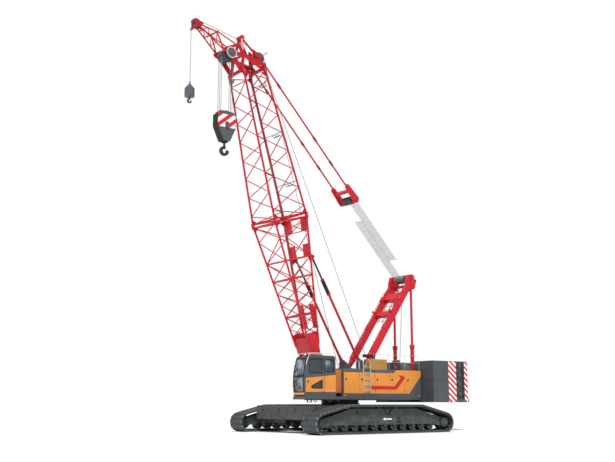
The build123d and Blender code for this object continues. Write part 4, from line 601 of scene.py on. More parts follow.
SLOT_FINISH: dict[str, Finish | Glass] = {"frame_paint": FRAME_GREY, "machined_steel": BRIGHT_STEEL,
                                          "track_steel": SHOE_STEEL, "wheel_steel": WHEEL_STEEL,
                                          "orange_paint": ORANGE, "weight_paint": WEIGHT_GREY,
                                          "engine_iron": CAST_IRON, "cab_paint": CAB_GREY, "glass": CAB_GLASS,
                                          "seat_fabric": SEAT_CLOTH, "red_paint": RED, "sheave_steel": SHEAVE,
                                          "rope_steel": HOIST_ROPE, "hook_paint": BLOCK_GREY,
                                          "hook_iron": CAST_IRON}
NODE_FINISH: dict[str, Finish] = {"left_house": GREY, "right_house": GREY, "front_ballast": BALLAST_GREY,
                                  "rear_ballast": BALLAST_GREY, "upper_frame": GREY, "slew_ring": CAST_IRON,
                                  "cab_shell": CAB_TWO_TONE, "cab_door": CAB_TWO_TONE,
                                  "bridle_ropes": STAY_ROPE, "gantry_ropes": STAY_ROPE, "exhaust_pipe": BLACK,
                                  "air_cleaner": GREY, "roof_box": KHAKI, "boom_base": RED,
                                  "boom_top": SHADED_BOOM_RED, "boom_head": SHADED_BOOM_RED, "tip_jib": SHADED_BOOM_RED,
                                  "pendant_bars": SHADED_BOOM_RED, "backstop_rods": CAST_IRON,
                                  "backstop_tubes": SHADED_BOOM_RED, "access_ladder": LIGHT_METAL}


# ---- workbench

def deselect() -> None:
    """Leaves edit mode and selects nothing."""
    if bpy.context.mode != "OBJECT":
        bpy.ops.object.mode_set(mode="OBJECT")
    bpy.ops.object.select_all(action="DESELECT")


def take(obj: Solid) -> Solid:
    """Selects one object alone and makes it active.

    Args:
        obj: the object.

    Returns:
        The same object.
    """
    deselect()
    obj.select_set(True)
    bpy.context.view_layer.objects.active = obj
    return obj


def settle() -> Solid:
    """Moves the active object's place, turn and scale into its mesh."""
    bpy.ops.object.transform_apply(location=True, rotation=True, scale=True)
    return bpy.context.object


def edit_all() -> None:
    """Enters edit mode with the whole mesh selected."""
    bpy.ops.object.mode_set(mode="EDIT")
    bpy.ops.mesh.select_mode(type="FACE")
    bpy.ops.mesh.select_all(action="SELECT")


def soften(obj: Solid, width: float) -> Solid:
    """Bevels every sharp edge of an object.

    Args:
        obj: the object.
        width: the bevel's width.

    Returns:
        The same object.
    """
    take(obj)
    bevel = obj.modifiers.new("bevel", "BEVEL")
    bevel.width, bevel.segments, bevel.limit_method, bevel.angle_limit = width, 1, "ANGLE", 0.6
    bpy.ops.object.modifier_apply(modifier=bevel.name)
    return obj


def box(low: Point, high: Point, bevel: float = 0.0) -> Solid:
    """A block between two corners, with softened edges.

    Args:
        low: one corner.
        high: the opposite corner.
        bevel: the width of its softened edges.

    Returns:
        The block.
    """
    deselect()
    middle = [(a + b) / 2 for a, b in zip(low, high)]
    bpy.ops.mesh.primitive_cube_add(size=1.0, location=middle)
    bpy.context.object.scale = [abs(b - a) for a, b in zip(low, high)]
    obj = settle()
    return soften(obj, bevel) if bevel else obj


def rod(start: Point, end: Point, radius: float, sides: int = 10, tip: float | None = None) -> Solid:
    """A round bar, or a cone when its tip has another radius.

    Args:
        start: the middle of its foot.
        end: the middle of its tip.
        radius: its radius, or that of a cone's foot.
        sides: how many faces go round it.
        tip: a cone's radius at the tip.

    Returns:
        The bar.
    """
    deselect()
    first, last = Vector(start), Vector(end)
    way = last - first
    bpy.ops.mesh.primitive_cone_add(vertices=sides, radius1=radius, radius2=radius if tip is None else tip,
                                    depth=way.length, location=(first + last) / 2,
                                    rotation=way.to_track_quat("Z", "Y").to_euler())
    return settle()


def plate(outline: Sequence[Point], axis: Axis, low: float, high: float, bevel: float = 0.0) -> Solid:
    """A flat plate.

    Args:
        outline: its corners on the axis's cross plane.
        axis: what it is square to.
        low: one face's place along the axis.
        high: the other face's place.
        bevel: the width of its softened edges.

    Returns:
        The plate.
    """
    deselect()
    bpy.ops.mesh.primitive_circle_add(vertices=len(outline), radius=1.0, fill_type="NGON")
    obj = bpy.context.object
    for vertex, (first, second) in zip(obj.data.vertices, outline):
        vertex.co = axis.place(low, first, second)
    edit_all()
    move = axis.place(high - low, 0.0, 0.0)
    bpy.ops.mesh.extrude_region_move(TRANSFORM_OT_translate={"value": move})
    bpy.ops.mesh.select_all(action="SELECT")
    bpy.ops.mesh.normals_make_consistent(inside=False)
    bpy.ops.object.mode_set(mode="OBJECT")
    return soften(obj, bevel) if bevel else obj


def lathe(profile: Sequence[Point], centre: Point, axis: Axis, steps: int = 32) -> Solid:
    """A closed profile turned round an axis.

    Args:
        profile: each corner's radius and place along the axis.
        centre: a point that the axis goes through.
        axis: the direction that it turns about.
        steps: how many faces go round it.

    Returns:
        The turned piece.
    """
    deselect()
    bpy.ops.mesh.primitive_circle_add(vertices=len(profile), radius=1.0, fill_type="NOTHING")
    obj = bpy.context.object
    middle = Vector(centre)
    for vertex, (radius, along) in zip(obj.data.vertices, profile):
        vertex.co = middle + axis.place(along, radius, 0.0)
    edit_all()
    bpy.ops.mesh.select_mode(type="EDGE")
    bpy.ops.mesh.select_all(action="SELECT")
    bpy.ops.mesh.spin(steps=steps, angle=math.tau, center=middle, axis=axis.place(1.0, 0.0, 0.0))
    bpy.ops.mesh.select_all(action="SELECT")
    bpy.ops.mesh.remove_doubles(threshold=0.0002)
    bpy.ops.mesh.dissolve_degenerate(threshold=0.0002)
    bpy.ops.mesh.select_all(action="SELECT")
    bpy.ops.mesh.normals_make_consistent(inside=False)
    bpy.ops.object.mode_set(mode="OBJECT")
    return obj


def pin_head(radius: float, edge: float, crown: float, top: float) -> list[Point]:
    """A round head's profile: a rim up to its edge, a chamfer to the crown's radius, and a flat top."""
    return [(0.0, 0.0), (radius, 0.0), (radius, edge), (crown, top), (0.0, top)]


def sleeve(inner: float, outer: float, low: float, high: float) -> list[Point]:
    """A plain collar's profile between two radii and two places along."""
    return [(inner, low), (outer, low), (outer, high), (inner, high)]


def flat(points: Iterable[Vector]) -> list[Point]:
    """Points of the crane's middle plane as X and Z."""
    return [(point.x, point.z) for point in points]


def hose(points: Sequence[Point], radius: float, closed: bool = False) -> Solid:
    """A round tube that bends smoothly beside its points.

    Args:
        points: the line that it follows.
        radius: its radius.
        closed: joins its end to its start.

    Returns:
        The tube.
    """
    deselect()
    curve = bpy.data.curves.new("hose", "CURVE")
    curve.dimensions, curve.bevel_depth, curve.bevel_resolution = "3D", radius, 2
    curve.resolution_u, curve.use_fill_caps = 4, True
    line = curve.splines.new("NURBS")
    line.points.add(len(points) - 1)
    for target, point in zip(line.points, points):
        target.co = (*point, 1.0)
    line.order_u, line.use_endpoint_u, line.use_cyclic_u = 3, not closed, closed
    obj = bpy.data.objects.new("hose", curve)
    bpy.context.scene.collection.objects.link(obj)
    take(obj)
    bpy.ops.object.convert(target="MESH")
    return bpy.context.object


def rail(points: Sequence[Point], radius: float) -> Solid:
    """Straight round bars from point to point, with a ball at each bend.

    Args:
        points: the line's ends and bends.
        radius: the bars' radius.

    Returns:
        The rail.
    """
    pieces = [rod(a, b, radius, 8) for a, b in zip(points, points[1:])]
    for point in points[1:-1]:
        deselect()
        bpy.ops.mesh.primitive_ico_sphere_add(subdivisions=1, radius=radius * 1.05, location=point)
        pieces.append(settle())
    return weld(pieces)


def weld(pieces: Pieces) -> Solid:
    """Joins several objects into one.

    Args:
        pieces: the objects.

    Returns:
        The joined object.
    """
    pieces = list(pieces)
    take(pieces[0])
    for piece in pieces[1:]:
        piece.select_set(True)
    if len(pieces) > 1:
        bpy.ops.object.join()
    return bpy.context.object


def copies(model: Solid, places: Iterable[Matrix], keep: bool = False) -> Solid:
    """Copies one finished model to every place, each with its own mesh, and joins them.

    Args:
        model: the model, made about the origin.
        places: where the copies go.
        keep: leaves the model itself for more copies.

    Returns:
        The joined copies.
    """
    made = []
    for place in places:
        twin = model.copy()
        twin.data = model.data.copy()
        twin.data.transform(place)
        if place.determinant() < 0:
            twin.data.flip_normals()
        bpy.context.scene.collection.objects.link(twin)
        made.append(twin)
    if not keep:
        bpy.data.objects.remove(model)
    return weld(made)


def cut(obj: Solid, cutter: Solid) -> Solid:
    """Takes one object's volume out of another.

    Args:
        obj: the object that is cut.
        cutter: the volume to take out, which is used up.

    Returns:
        The cut object.
    """
    take(obj)
    knife = obj.modifiers.new("cut", "BOOLEAN")
    knife.operation, knife.object, knife.solver = "DIFFERENCE", cutter, "EXACT"
    bpy.ops.object.modifier_apply(modifier=knife.name)
    bpy.data.objects.remove(cutter)
    return obj


def fit(pieces: Solid | Pieces, name: str, finish: Finish | Glass, body: Body,
        smooth: float = 35.0) -> Solid:
    """Joins pieces, names and paints them, and lets them ride on a body.

    Args:
        pieces: one object or several.
        name: the finished piece's name.
        finish: its surface.
        body: the body that it moves with.
        smooth: edges flatter than this many degrees are shaded smooth.

    Returns:
        The finished piece.
    """
    obj = weld([pieces] if isinstance(pieces, Solid) else pieces)
    obj.name = obj.data.name = name
    obj.data.materials.clear()
    obj.data.materials.append(finish.material())
    take(obj)
    bpy.ops.object.shade_smooth_by_angle(angle=math.radians(smooth))
    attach(obj, body.value)
    LOG.info("%s: %d faces on %s", name, len(obj.data.polygons), body.value)
    return obj


def bolt_ring(centre: Point, axis: Axis, radius: float, count: int, size: float, proud: float) -> Solid:
    """A ring of hexagon bolt heads that stand proud of a face.

    Args:
        centre: the ring's middle on the face.
        axis: what the face is square to.
        radius: the ring's radius.
        count: how many bolts it has.
        size: a bolt head's radius.
        proud: how far the heads stand out along the axis.

    Returns:
        The bolts in one.
    """
    turns = [math.tau * (i + 0.5) / count for i in range(count)]
    feet = [Vector(centre) + axis.place(0.0, radius * math.cos(turn),
                                        radius * math.sin(turn)) for turn in turns]
    return weld(rod(foot, foot + axis.place(proud, 0.0, 0.0), size, 6) for foot in feet)


# ---- studio

@dataclass
class Studio:
    """The pale floor, the soft lights and the camera."""

    floor_radius: float = 900.0
    camera_place: tuple[float, float, float] = (29.3385, 36.7848, 1.5)
    heading: float = -2.20711
    pitch: float = 0.191255
    lens: float = 51.77
    surround: float = 0.62      # what the white surrounding adds to the light

    def build(self) -> None:
        """Sets up everything that isn't part of the crane."""
        deselect()
        bpy.ops.mesh.primitive_circle_add(vertices=96, radius=self.floor_radius, fill_type="NGON",
                                          location=(0, 0, -0.002))
        floor = settle()
        floor.name = "floor"
        surface = Finish("pale_floor", (0.86, 0.86, 0.86), 0.85, tone=0.015, dirt=0.0, wear=0.0, grain=0.001)
        floor.data.materials.append(surface.material())
        self.light_world()
        self.add_sun("key", (0.45, 0.62, 1.0), 3.0, 14.0)
        self.add_sun("fill", (0.9, -0.5, 0.5), 0.2, 60.0)
        self.add_camera()

    def light_world(self) -> None:
        """A plain white surrounding."""
        world = bpy.data.worlds.new("studio")
        bpy.context.scene.world = world
        world.use_nodes = True
        graph = Graph(world.node_tree)
        seen = graph.add("LightPath").outputs["Is Camera Ray"]
        strength = graph.math("MULTIPLY_ADD", seen, 1.0 - self.surround, self.surround)
        sky = graph.add("Background", {"Color": (1.0, 1.0, 1.0, 1.0), "Strength": strength})
        graph.add("OutputWorld", {"Surface": sky.outputs[0]})
        bpy.context.scene.view_settings.view_transform = "Standard"

    def add_sun(self, name: str, toward: Point, strength: float, spread: float) -> None:
        """A wide, soft light from a direction.

        Args:
            name: the light's name.
            toward: the direction that it comes from.
            strength: its power.
            spread: its width in degrees.
        """
        deselect()
        bpy.ops.object.light_add(type="SUN", rotation=Vector(toward).to_track_quat("Z", "Y").to_euler())
        light = bpy.context.object
        light.name = name
        light.data.energy, light.data.angle = strength, math.radians(spread)

    def add_camera(self) -> None:
        """The camera, at a standing person's height before the crane's left front corner."""
        deselect()
        bpy.ops.object.camera_add(location=self.camera_place,
                                  rotation=(math.pi / 2 + self.pitch, 0.0, self.heading - math.pi / 2))
        camera = bpy.context.object
        camera.data.lens, camera.data.clip_end = self.lens, 3000.0
        bpy.context.scene.camera = camera


@dataclass
class Paintwork:
    """The finishes of the solids that come with the frame."""

    record: dict
    nodes: dict

    def build(self) -> None:
        """Gives every solid the finish of its own name or of its slot."""
        for part in self.record["subparts"]:
            name = part["node"]
            finish = NODE_FINISH.get(name) or SLOT_FINISH[part["material_slot"]]
            materials = self.nodes[name].data.materials
            for i in range(max(1, len(materials))):
                if i < len(materials):
                    materials[i] = finish.material()
                else:
                    materials.append(finish.material())
        LOG.info("painted %d solids", len(self.record["subparts"]))


# ---- running gear

@dataclass
class TrackLoop:
    """The loop that the shoes' joints follow: level below, round the ends, and up to a raised run."""

    axle_x: float = 3.97
    axle_z: float = 0.5
    crest_x: float = 2.3
    top_z: float = 1.4
    shoe_thick: float = 0.08
    count: int = 76

    def lengths(self) -> tuple[float, float, float, float]:
        """Half the level run, one end's arc, one slope, and the turn of the arc."""
        radius, crest_z = self.axle_z - self.shoe_thick, self.top_z - self.shoe_thick
        apart = math.hypot(self.axle_x - self.crest_x, crest_z - self.axle_z)
        slope = math.sqrt(apart ** 2 - radius ** 2)
        lean = math.atan2(crest_z - self.axle_z, self.crest_x - self.axle_x)
        turn = lean - math.acos(radius / apart) + math.pi / 2
        return self.axle_x, radius * turn, slope, turn

    def pitch(self) -> float:
        """The distance between two joints along the loop."""
        level, arc, slope, _ = self.lengths()
        return 2 * (level + arc + slope + self.crest_x) / self.count

    def half(self, along: float) -> tuple[float, float]:
        """A place on the front half of the loop, from the middle of its foot to the middle of its top.

        Args:
            along: the distance from the foot's middle.

        Returns:
            The place's X and Z.
        """
        level, arc, slope, turn = self.lengths()
        radius = self.axle_z - self.shoe_thick
        if along < level:
            return along, self.shoe_thick
        if along < level + arc:
            angle = (along - level) / radius
            return self.axle_x + radius * math.sin(angle), self.axle_z - radius * math.cos(angle)
        start = (self.axle_x + radius * math.sin(turn), self.axle_z - radius * math.cos(turn))
        end = (self.crest_x, self.top_z - self.shoe_thick)
        if along < level + arc + slope:
            share = (along - level - arc) / slope
            return start[0] + (end[0] - start[0]) * share, start[1] + (end[1] - start[1]) * share
        return self.crest_x - (along - level - arc - slope), end[1]

    def place(self, along: float) -> Vector:
        """A place anywhere on the loop.

        Args:
            along: the distance from the foot's middle.

        Returns:
            The place on the middle plane.
        """
        whole = self.pitch() * self.count
        along %= whole
        if along <= whole / 2:
            x, z = self.half(along)
            return Vector((x, 0, z))
        x, z = self.half(whole - along)
        return Vector((-x, 0, z))

    def frames(self, y: float) -> list[Matrix]:
        """The place and turn of each shoe: its X along the loop and its Z outward.

        Args:
            y: the track's place across.

        Returns:
            A matrix for each shoe.
        """
        found = []
        for i in range(self.count):
            first, last = self.place((i - 0.5) * self.pitch()), self.place((i + 0.5) * self.pitch())
            along = (last - first).normalized()
            out = Vector((0, 1, 0)).cross(along)
            turn = Matrix((along, Vector((0, -1, 0)), out)).transposed().to_4x4()
            middle = (first + last) / 2
            found.append(Matrix.Translation((middle.x, y, middle.z)) @ turn)
        return found


@dataclass
class Tracks:
    """Both tracks: cast shoes with black discs painted as the shade in their pad holes and worn ends in
    lighter steel as a painted highlight, and the two rails of links below them.
    """

    loop: TrackLoop = field(default_factory=TrackLoop)
    y: float = 3.2
    shoe_width: float = 1.1
    gap: float = 0.005
    lap: float = 0.05
    hole: float = 0.05
    worn: float = 0.004         # the worn ends, lighter steel as a painted highlight, stand this far out of the pad
    sunk: float = 0.003         # the pad's face lies this far below the worn ends' top
    hole_rows: tuple[float, ...] = (-0.42, -0.21, 0.0, 0.21, 0.42)
    link_y: float = 0.17
    link_depth: float = 0.068

    def shoe(self) -> Solid:
        """One shoe about the origin: a chamfered pad with a lip, end ribs and two guide horns.

        Returns:
            The shoe.
        """
        half, wide = self.loop.pitch() / 2 - self.gap, self.shoe_width / 2 - self.worn
        face = self.loop.shoe_thick - self.sunk
        profile = [(-half, 0.012), (-half, face - 0.02), (-half + 0.022, face), (half - 0.022, face),
                   (half, face - 0.02), (half, 0.012)]
        pad = plate(profile, Axis.Y, -wide, wide)
        ribs = [box((-half, side * wide, -0.028), (half * 0.7, side * (wide - 0.05), 0.02)) for side in SIDES]
        horn = [(-half * 0.85, 0.014), (half * 0.85, 0.014), (half * 0.35, -0.055), (-half * 0.35, -0.055)]
        horns = [plate(horn, Axis.Y, y - 0.035, y + 0.035) for y in (-0.33, 0.33)]
        lip = box((half - 0.02, -wide, 0.0), (half + self.lap, wide, 0.013))
        return weld([pad, lip, *ribs, *horns])

    def holes(self) -> Pieces:
        """Black discs on one shoe's pad, painted shade for its two rows of holes."""
        half, thick = self.loop.pitch() / 2 - self.gap, self.loop.shoe_thick
        for y in self.hole_rows:
            for x in (-half * 0.45, half * 0.45):
                yield rod((x, y, thick - 0.012), (x, y, thick - 0.001), self.hole, 8)

    def edges(self) -> Pieces:
        """The worn ends of one shoe, in a lighter steel as a painted highlight."""
        half, thick, wide = self.loop.pitch() / 2 - self.gap, self.loop.shoe_thick, self.shoe_width / 2
        for side in SIDES:
            yield box((-half * 0.7, side * wide, thick - 0.024),
                      (half * 0.5, side * (wide - 0.03), thick - 0.001), 0.004)

    def links(self) -> Pieces:
        """One shoe's pair of rail links, each lapping over the next one's pin."""
        half = self.loop.pitch() / 2
        outline = [(-half, 0.012), (half, 0.012), (half, -0.03), (half * 0.5, -self.link_depth),
                   (-half * 0.5, -self.link_depth), (-half, -0.03)]
        for y in (-self.link_y, self.link_y):
            yield plate(outline, Axis.Y, y - 0.028, y + 0.028)
            yield rod((half, y - 0.045, -0.02), (half, y + 0.045, -0.02), 0.03, 8)

    def build(self) -> None:
        """Lays both tracks round their wheels."""
        models = (("shoes", self.shoe(), SHOE_STEEL), ("links", weld(self.links()), CHAIN_STEEL),
                  # black discs as painted shade in the shoes' holes
                  ("hole_shade_discs", weld(self.holes()), BLACK),
                  # the shoes' worn ends in a lighter steel: a painted highlight
                  ("shoe_edge_highlights", weld(self.edges()), EDGE_HIGHLIGHT_STEEL))
        for side in (1, -1):
            frames = self.loop.frames(side * self.y)
            track = f"{HAND[side]}_track"
            for name, model, finish in models:
                piece = fit(copies(model, frames, keep=True), f"{track}_{name}",
                            finish, Body.UNDER)
                if finish is SHOE_STEEL:
                    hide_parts(track)
        for _, model, _ in models:
            bpy.data.objects.remove(model)


@dataclass
class TrackFrame:
    """What is welded and bolted to one track frame's sides."""

    side: int
    side_y: float = 3.45
    inner_y: float = 2.95
    hub_y: float = 3.5
    loop: TrackLoop = field(default_factory=TrackLoop)
    seams: tuple[float, ...] = (1.4, -1.41, -3.57)
    foot_z: float = 0.43
    ports: tuple[tuple[float, float], ...] = ((2.34, 0.73), (0.88, 0.75),
                                              (-0.9, 0.73), (1.74, 1.0), (1.93, 0.43))
    arrow: tuple[float, float] = (-0.17, 0.69)
    roller_z: float = 0.355
    roller_count: int = 11
    roller_span: float = 6.2
    hub_radius: float = 0.25

    def y(self, out: float = 0.0) -> float:
        """A place across, this far out of the frame's outer side."""
        return self.side * (self.side_y + out)

    def build(self) -> None:
        """Dresses the frame."""
        name = HAND[self.side]
        fit(self.ribs(), f"{name}_frame_ribs", FRAME_GREY, Body.UNDER)
        fit(self.ports_and_steps(), f"{name}_frame_ports", BLACK, Body.UNDER)
        fit(self.covers(), f"{name}_drive_cover", WHEEL_STEEL, Body.UNDER)
        fit(self.mark(), f"{name}_frame_arrow", WHITE, Body.UNDER)
        fit(self.roller_caps(), f"{name}_roller_caps", CAST_IRON, Body.UNDER)

    def ribs(self) -> Pieces:
        """Upright joint bars, the foot flange, the tensioner's box and two ledges."""
        for x in self.seams:
            top = 1.12 if abs(x) < 2 else 0.82
            yield box((x - 0.03, self.y(), self.foot_z), (x + 0.03, self.y(0.022), top), 0.006)
        yield box((-3.3, self.y(), self.foot_z), (3.3, self.y(0.02), self.foot_z + 0.05), 0.005)
        yield box((3.35, self.y(), 0.46), (3.62, self.y(0.03), 0.6), 0.01)
        for x in (-0.75, 0.35):
            ledge = [(x - 0.12, 1.16), (x + 0.12, 1.16), (x + 0.05, 1.26), (x - 0.05, 1.26)]
            yield plate(ledge, Axis.Y, self.y(-0.1), self.y(-0.02))

    def ports_and_steps(self) -> Pieces:
        """Dark round ports, the notch below the upper run and two steps."""
        rim, swell = self.side * 0.012, self.side * 0.018
        rim_profile = [(0.035, 0.0), (0.07, 0.0), (0.07, rim), (0.055, swell), (0.035, rim)]
        for x, z in self.ports:
            yield lathe(rim_profile, (x, self.y(), z), Axis.Y, 20)
            yield rod((x, self.y(-0.01), z), (x, self.y(0.004), z), 0.036, 16)
        notch = [(0.1, 1.15), (-0.02, 1.15), (-0.14, 0.93), (-0.28, 0.93), (-0.36, 1.15), (-0.48, 1.15),
                 (-0.48, 1.09), (-0.4, 1.09), (-0.31, 0.88), (-0.1, 0.88), (0.02, 1.09), (0.1, 1.09)]
        yield plate(notch, Axis.Y, self.y(), self.y(0.03), 0.004)
        for x in (-0.9, 0.9):
            yield box((x - 0.16, self.y(), 0.56), (x + 0.16, self.y(0.06), 0.585), 0.004)

    def mark(self) -> Solid:
        """A plain white arrow that points to the idler's end."""
        x, z = self.arrow
        upper = [(x + 0.3, z), (x + 0.16, z + 0.085), (x + 0.16, z + 0.035), (x - 0.27, z + 0.035)]
        lower = [(along, 2 * z - height) for along, height in reversed(upper[1:])]
        return plate(upper + lower, Axis.Y, self.y(-0.002), self.y(0.004))

    def covers(self) -> Pieces:
        """The gearbox cover on the sprocket and the cap on the idler's axle, with their bolts."""
        r, axle_x, axle_z, side = self.hub_radius, self.loop.axle_x, self.loop.axle_z, self.side
        cover = [(0.0, 0.0), (r, 0.0), (r, side * 0.07), (r - 0.03, side * 0.09), (r * 0.62, side * 0.1),
                 (r * 0.55, side * 0.14), (0.0, side * 0.15)]
        yield lathe(cover, (-axle_x, side * self.hub_y, axle_z), Axis.Y, 36)
        yield lathe(pin_head(0.12, side * 0.05, 0.1, side * 0.065),
                    (axle_x, self.y(-0.01), axle_z), Axis.Y, 28)
        yield bolt_ring((-axle_x, side * (self.hub_y + 0.09), axle_z), Axis.Y,
                        r * 0.8, 16, 0.014, side * 0.014)
        yield bolt_ring((axle_x, self.y(0.055), axle_z), Axis.Y, 0.075, 6, 0.012, side * 0.012)

    def roller_caps(self) -> Solid:
        """A bearing cap with two bolts on every lower roller's pin, both sides of the frame.

        Returns:
            All the caps in one.
        """
        bolts = [rod((x, -0.03, 0.0), (x, 0.03, 0.0), 0.014, 6) for x in (-0.055, 0.055)]
        cap = weld([box((-0.09, -0.022, -0.07), (0.09, 0.022, 0.05), 0.012), *bolts])
        step = self.roller_span / (self.roller_count - 1)
        return copies(cap, [
            Matrix.Translation((-self.roller_span / 2 + i * step, self.side * y, self.roller_z + 0.03))
            for i in range(self.roller_count) for y in (self.side_y + 0.01, self.inner_y - 0.01)])


@dataclass
class Carbody:
    """The carbody's bolts, flanges and hoses, and the ballast's cover plates."""

    ballast_front_x: float = 3.6
    ballast_top_z: float = 1.335
    ballast_foot_z: float = 0.66
    ballast_half: float = 2.5
    cross_x: float = 1.15
    flange_y: float = 2.9

    def build(self) -> None:
        """Dresses the carbody and both ballast blocks."""
        fit(self.ballast_trim(), "ballast_trim", BALLAST_GREY, Body.UNDER)
        fit([bolt_ring((0, 0, 1.29), Axis.Z, 1.12, 40, 0.022, 0.035), *self.flanges()], "carbody_bolts",
            FRAME_GREY, Body.UNDER)
        fit(self.hoses(), "carbody_hoses", RUBBER, Body.UNDER)

    def ballast_trim(self) -> Pieces:
        """Cover plates, seams and the bars that hang the blocks on the carbody's arms."""
        top = self.ballast_top_z
        for side in SIDES:
            inner, outer = side * 2.52, side * (self.ballast_front_x - 0.04)
            for y in (-self.ballast_half + 0.02, self.ballast_half - 0.32):
                yield box((inner, y, top), (outer, y + 0.3, top + 0.016), 0.005)
            for y in (-0.7, 0.7):
                yield box((side * 2.3, y - 0.12, top - 0.02), (side * 2.95, y + 0.12, top + 0.05), 0.01)
                yield rod((side * 2.42, y - 0.2, 1.25), (side * 2.42, y + 0.2, 1.25), 0.045, 14)
            seam_z = self.ballast_foot_z + 0.08
            yield box((side * 3.565, -2.46, seam_z - 0.01), (side * 3.58, 2.46, seam_z + 0.01), 0.003)

    def flanges(self) -> Pieces:
        """Bolted flanges where the cross beams carry the track frames."""
        for x in (-self.cross_x, self.cross_x):
            for y in (-self.flange_y, self.flange_y):
                yield box((x - 0.38, y - 0.02, 0.58), (x + 0.38, y + 0.02, 1.17), 0.008)
                inner = y - math.copysign(0.045, y)
                for dx in (-0.3, -0.1, 0.1, 0.3):
                    for z in (1.1, 0.65):
                        yield rod((x + dx, inner, z), (x + dx, y, z), 0.02, 6)

    def hoses(self) -> Pieces:
        """Two pairs of drive hoses from the carbody's middle to the sprocket motors."""
        for side in SIDES:
            for z in (1.02, 1.09):
                yield hose([(-1.3, side * 0.9, z), (-1.7, side * 1.3, z + 0.03),
                            (-1.75, side * 2.2, z - 0.02), (-2.3, side * 2.75, z - 0.17),
                            (-2.9, side * 2.93, z - 0.27)], 0.024)


# ---- upperworks

@dataclass
class House:
    """The door panels, louvres, band and roof fittings of one machinery house."""

    side: int
    skin_y: float = 1.5
    inner_y: float = 0.83
    proud: float = 0.014
    foot_z: float = 1.94
    band_z: float = 3.0
    top_z: float = 3.17
    front_x: float = 0.985
    seams: tuple[float, ...] = (-0.045, -1.08, -2.1, -3.13)
    seam_gap: float = 0.012
    latch_x: tuple[float, ...] = (0.85, -0.2, -1.23, -2.25, -3.38)
    latch_z: float = 2.65
    rail_x: tuple[float, ...] = (-4.25, -3.2, -2.1, -1.05)

    def y(self, out: float = 0.0) -> float:
        """A place across, this far out of the door panels' face."""
        return self.side * (self.skin_y + self.proud + out)

    def door_outlines(self) -> list[list[Point]]:
        """The five panels' outlines from front to rear; the rear ones follow the slanted bands.

        Returns:
            One outline for each panel.
        """
        edges = [self.front_x, *self.seams]
        half, foot, top = self.seam_gap / 2, self.foot_z, self.top_z - 0.01
        outlines = [[(front - half, foot), (front - half, self.band_z), (rear + half, self.band_z),
                     (rear + half, foot)] for front, rear in zip(edges[:3], edges[1:4])]
        front, rear, last = self.seams[2] - half, self.seams[3] + half, self.seams[3] - half
        outlines.append([(front, foot), (front, self.band_z), (-2.37, self.band_z),
                         (-2.6, top), (rear, top), (rear, foot)])
        outlines.append([(last, foot), (last, top), (-4.33, top), (-4.31, 2.86), (-3.46, foot)])
        return outlines

    def build(self) -> None:
        """Dresses the house."""
        name = HAND[self.side]
        doors = [plate(outline, Axis.Y, self.y(-0.017), self.y(), 0.005) for outline in self.door_outlines()]
        fit(doors, f"{name}_house_doors", ORANGE, Body.UPPER)
        fit(self.latches(), f"{name}_house_latches", BLACK, Body.UPPER)
        fit(self.band(), f"{name}_house_band", BAND_RED, Body.UPPER)
        fit(self.ridge(), f"{name}_house_ridge", ORANGE, Body.UPPER)
        fit(self.louvres(), f"{name}_house_louvres", BLACK, Body.UPPER)
        fit(self.roof(), f"{name}_house_roof", GREY, Body.UPPER)
        fit(self.handrail(), f"{name}_house_rail", LIGHT_METAL, Body.UPPER)
        fit(self.reflectors(), f"{name}_house_reflector", AMBER, Body.UPPER)

    def latches(self) -> Pieces:
        """Round flush latches, one on each door, and two hinges at each seam."""
        cup = [(0.0, 0.0), (0.055, 0.0), (0.055, self.side * 0.006), (0.045, self.side * 0.012),
               (0.03, self.side * 0.004), (0.0, self.side * 0.004)]
        for x in self.latch_x:
            yield lathe(cup, (x, self.y(), self.latch_z), Axis.Y, 20)
            yield box((x - 0.01, self.y(), self.latch_z - 0.03),
                      (x + 0.01, self.y(0.014), self.latch_z + 0.03))
        for x in self.seams:
            for z in (2.1, 2.85):
                yield rod((x, self.y(0.002), z - 0.045), (x, self.y(0.002), z + 0.045), 0.011, 8)

    def band(self) -> Solid:
        """A plain angled stripe: level along the doors, then up to the rear."""
        outline = [(-0.78, 2.15), (-0.78, 2.33), (-2.42, 2.33), (-2.86, 2.76), (-2.68, 2.9), (-3.0, 2.9),
                   (-3.16, 2.74), (-2.56, 2.15)]
        return plate(outline, Axis.Y, self.y(-0.002), self.y(0.003))

    def ridge(self) -> Solid:
        """A pressed ridge, parallel to the rear slant."""
        outline = [(-3.34, 2.16), (-3.375, 2.16), (-3.985, 2.98), (-3.95, 2.98)]
        return plate(outline, Axis.Y, self.y(-0.002), self.y(0.014), 0.005)

    def louvres(self) -> Pieces:
        """Slanted slats in the inner face, and on the engine's side outside too."""
        y, back = self.side * self.inner_y, self.side * (self.inner_y - 0.03)
        for i in range(9):
            z = 2.2 + i * 0.075
            yield plate([(y, z), (back, z - 0.035), (back, z - 0.02), (y, z + 0.02)], Axis.X, -3.1, -1.6)
        if self.side > 0:
            return
        for first, last in ((-3.05, -2.2), (-2.0, -1.18)):
            for i in range(10):
                z = 2.36 + i * 0.05
                slat = [(self.y(), z), (self.y(0.02), z - 0.025),
                        (self.y(0.02), z - 0.014), (self.y(), z + 0.012)]
                yield plate(slat, Axis.X, first, last)

    def roof(self) -> Pieces:
        """Hatches with their grips, and a rib at each end of the roof."""
        inner, grip_y, outer, top = self.side * 0.9, self.side * 1.15, self.side * 1.44, self.top_z
        rear_hatches = ((-0.55, 0.0),) if self.side > 0 else ((-1.5, -0.2), (-3.0, -1.7), (-4.2, -3.2))
        for rear, front in ((0.1, 0.9), *rear_hatches):
            yield box((rear, inner, top), (front, outer, top + 0.03), 0.01)
            yield rod((rear + 0.1, grip_y, top + 0.045), (rear + 0.22, grip_y, top + 0.045), 0.012)
        for x in (-4.3, 1.0):
            yield box((x - 0.02, self.side * 0.86, top), (x + 0.02, self.side * 1.48, top + 0.02), 0.004)

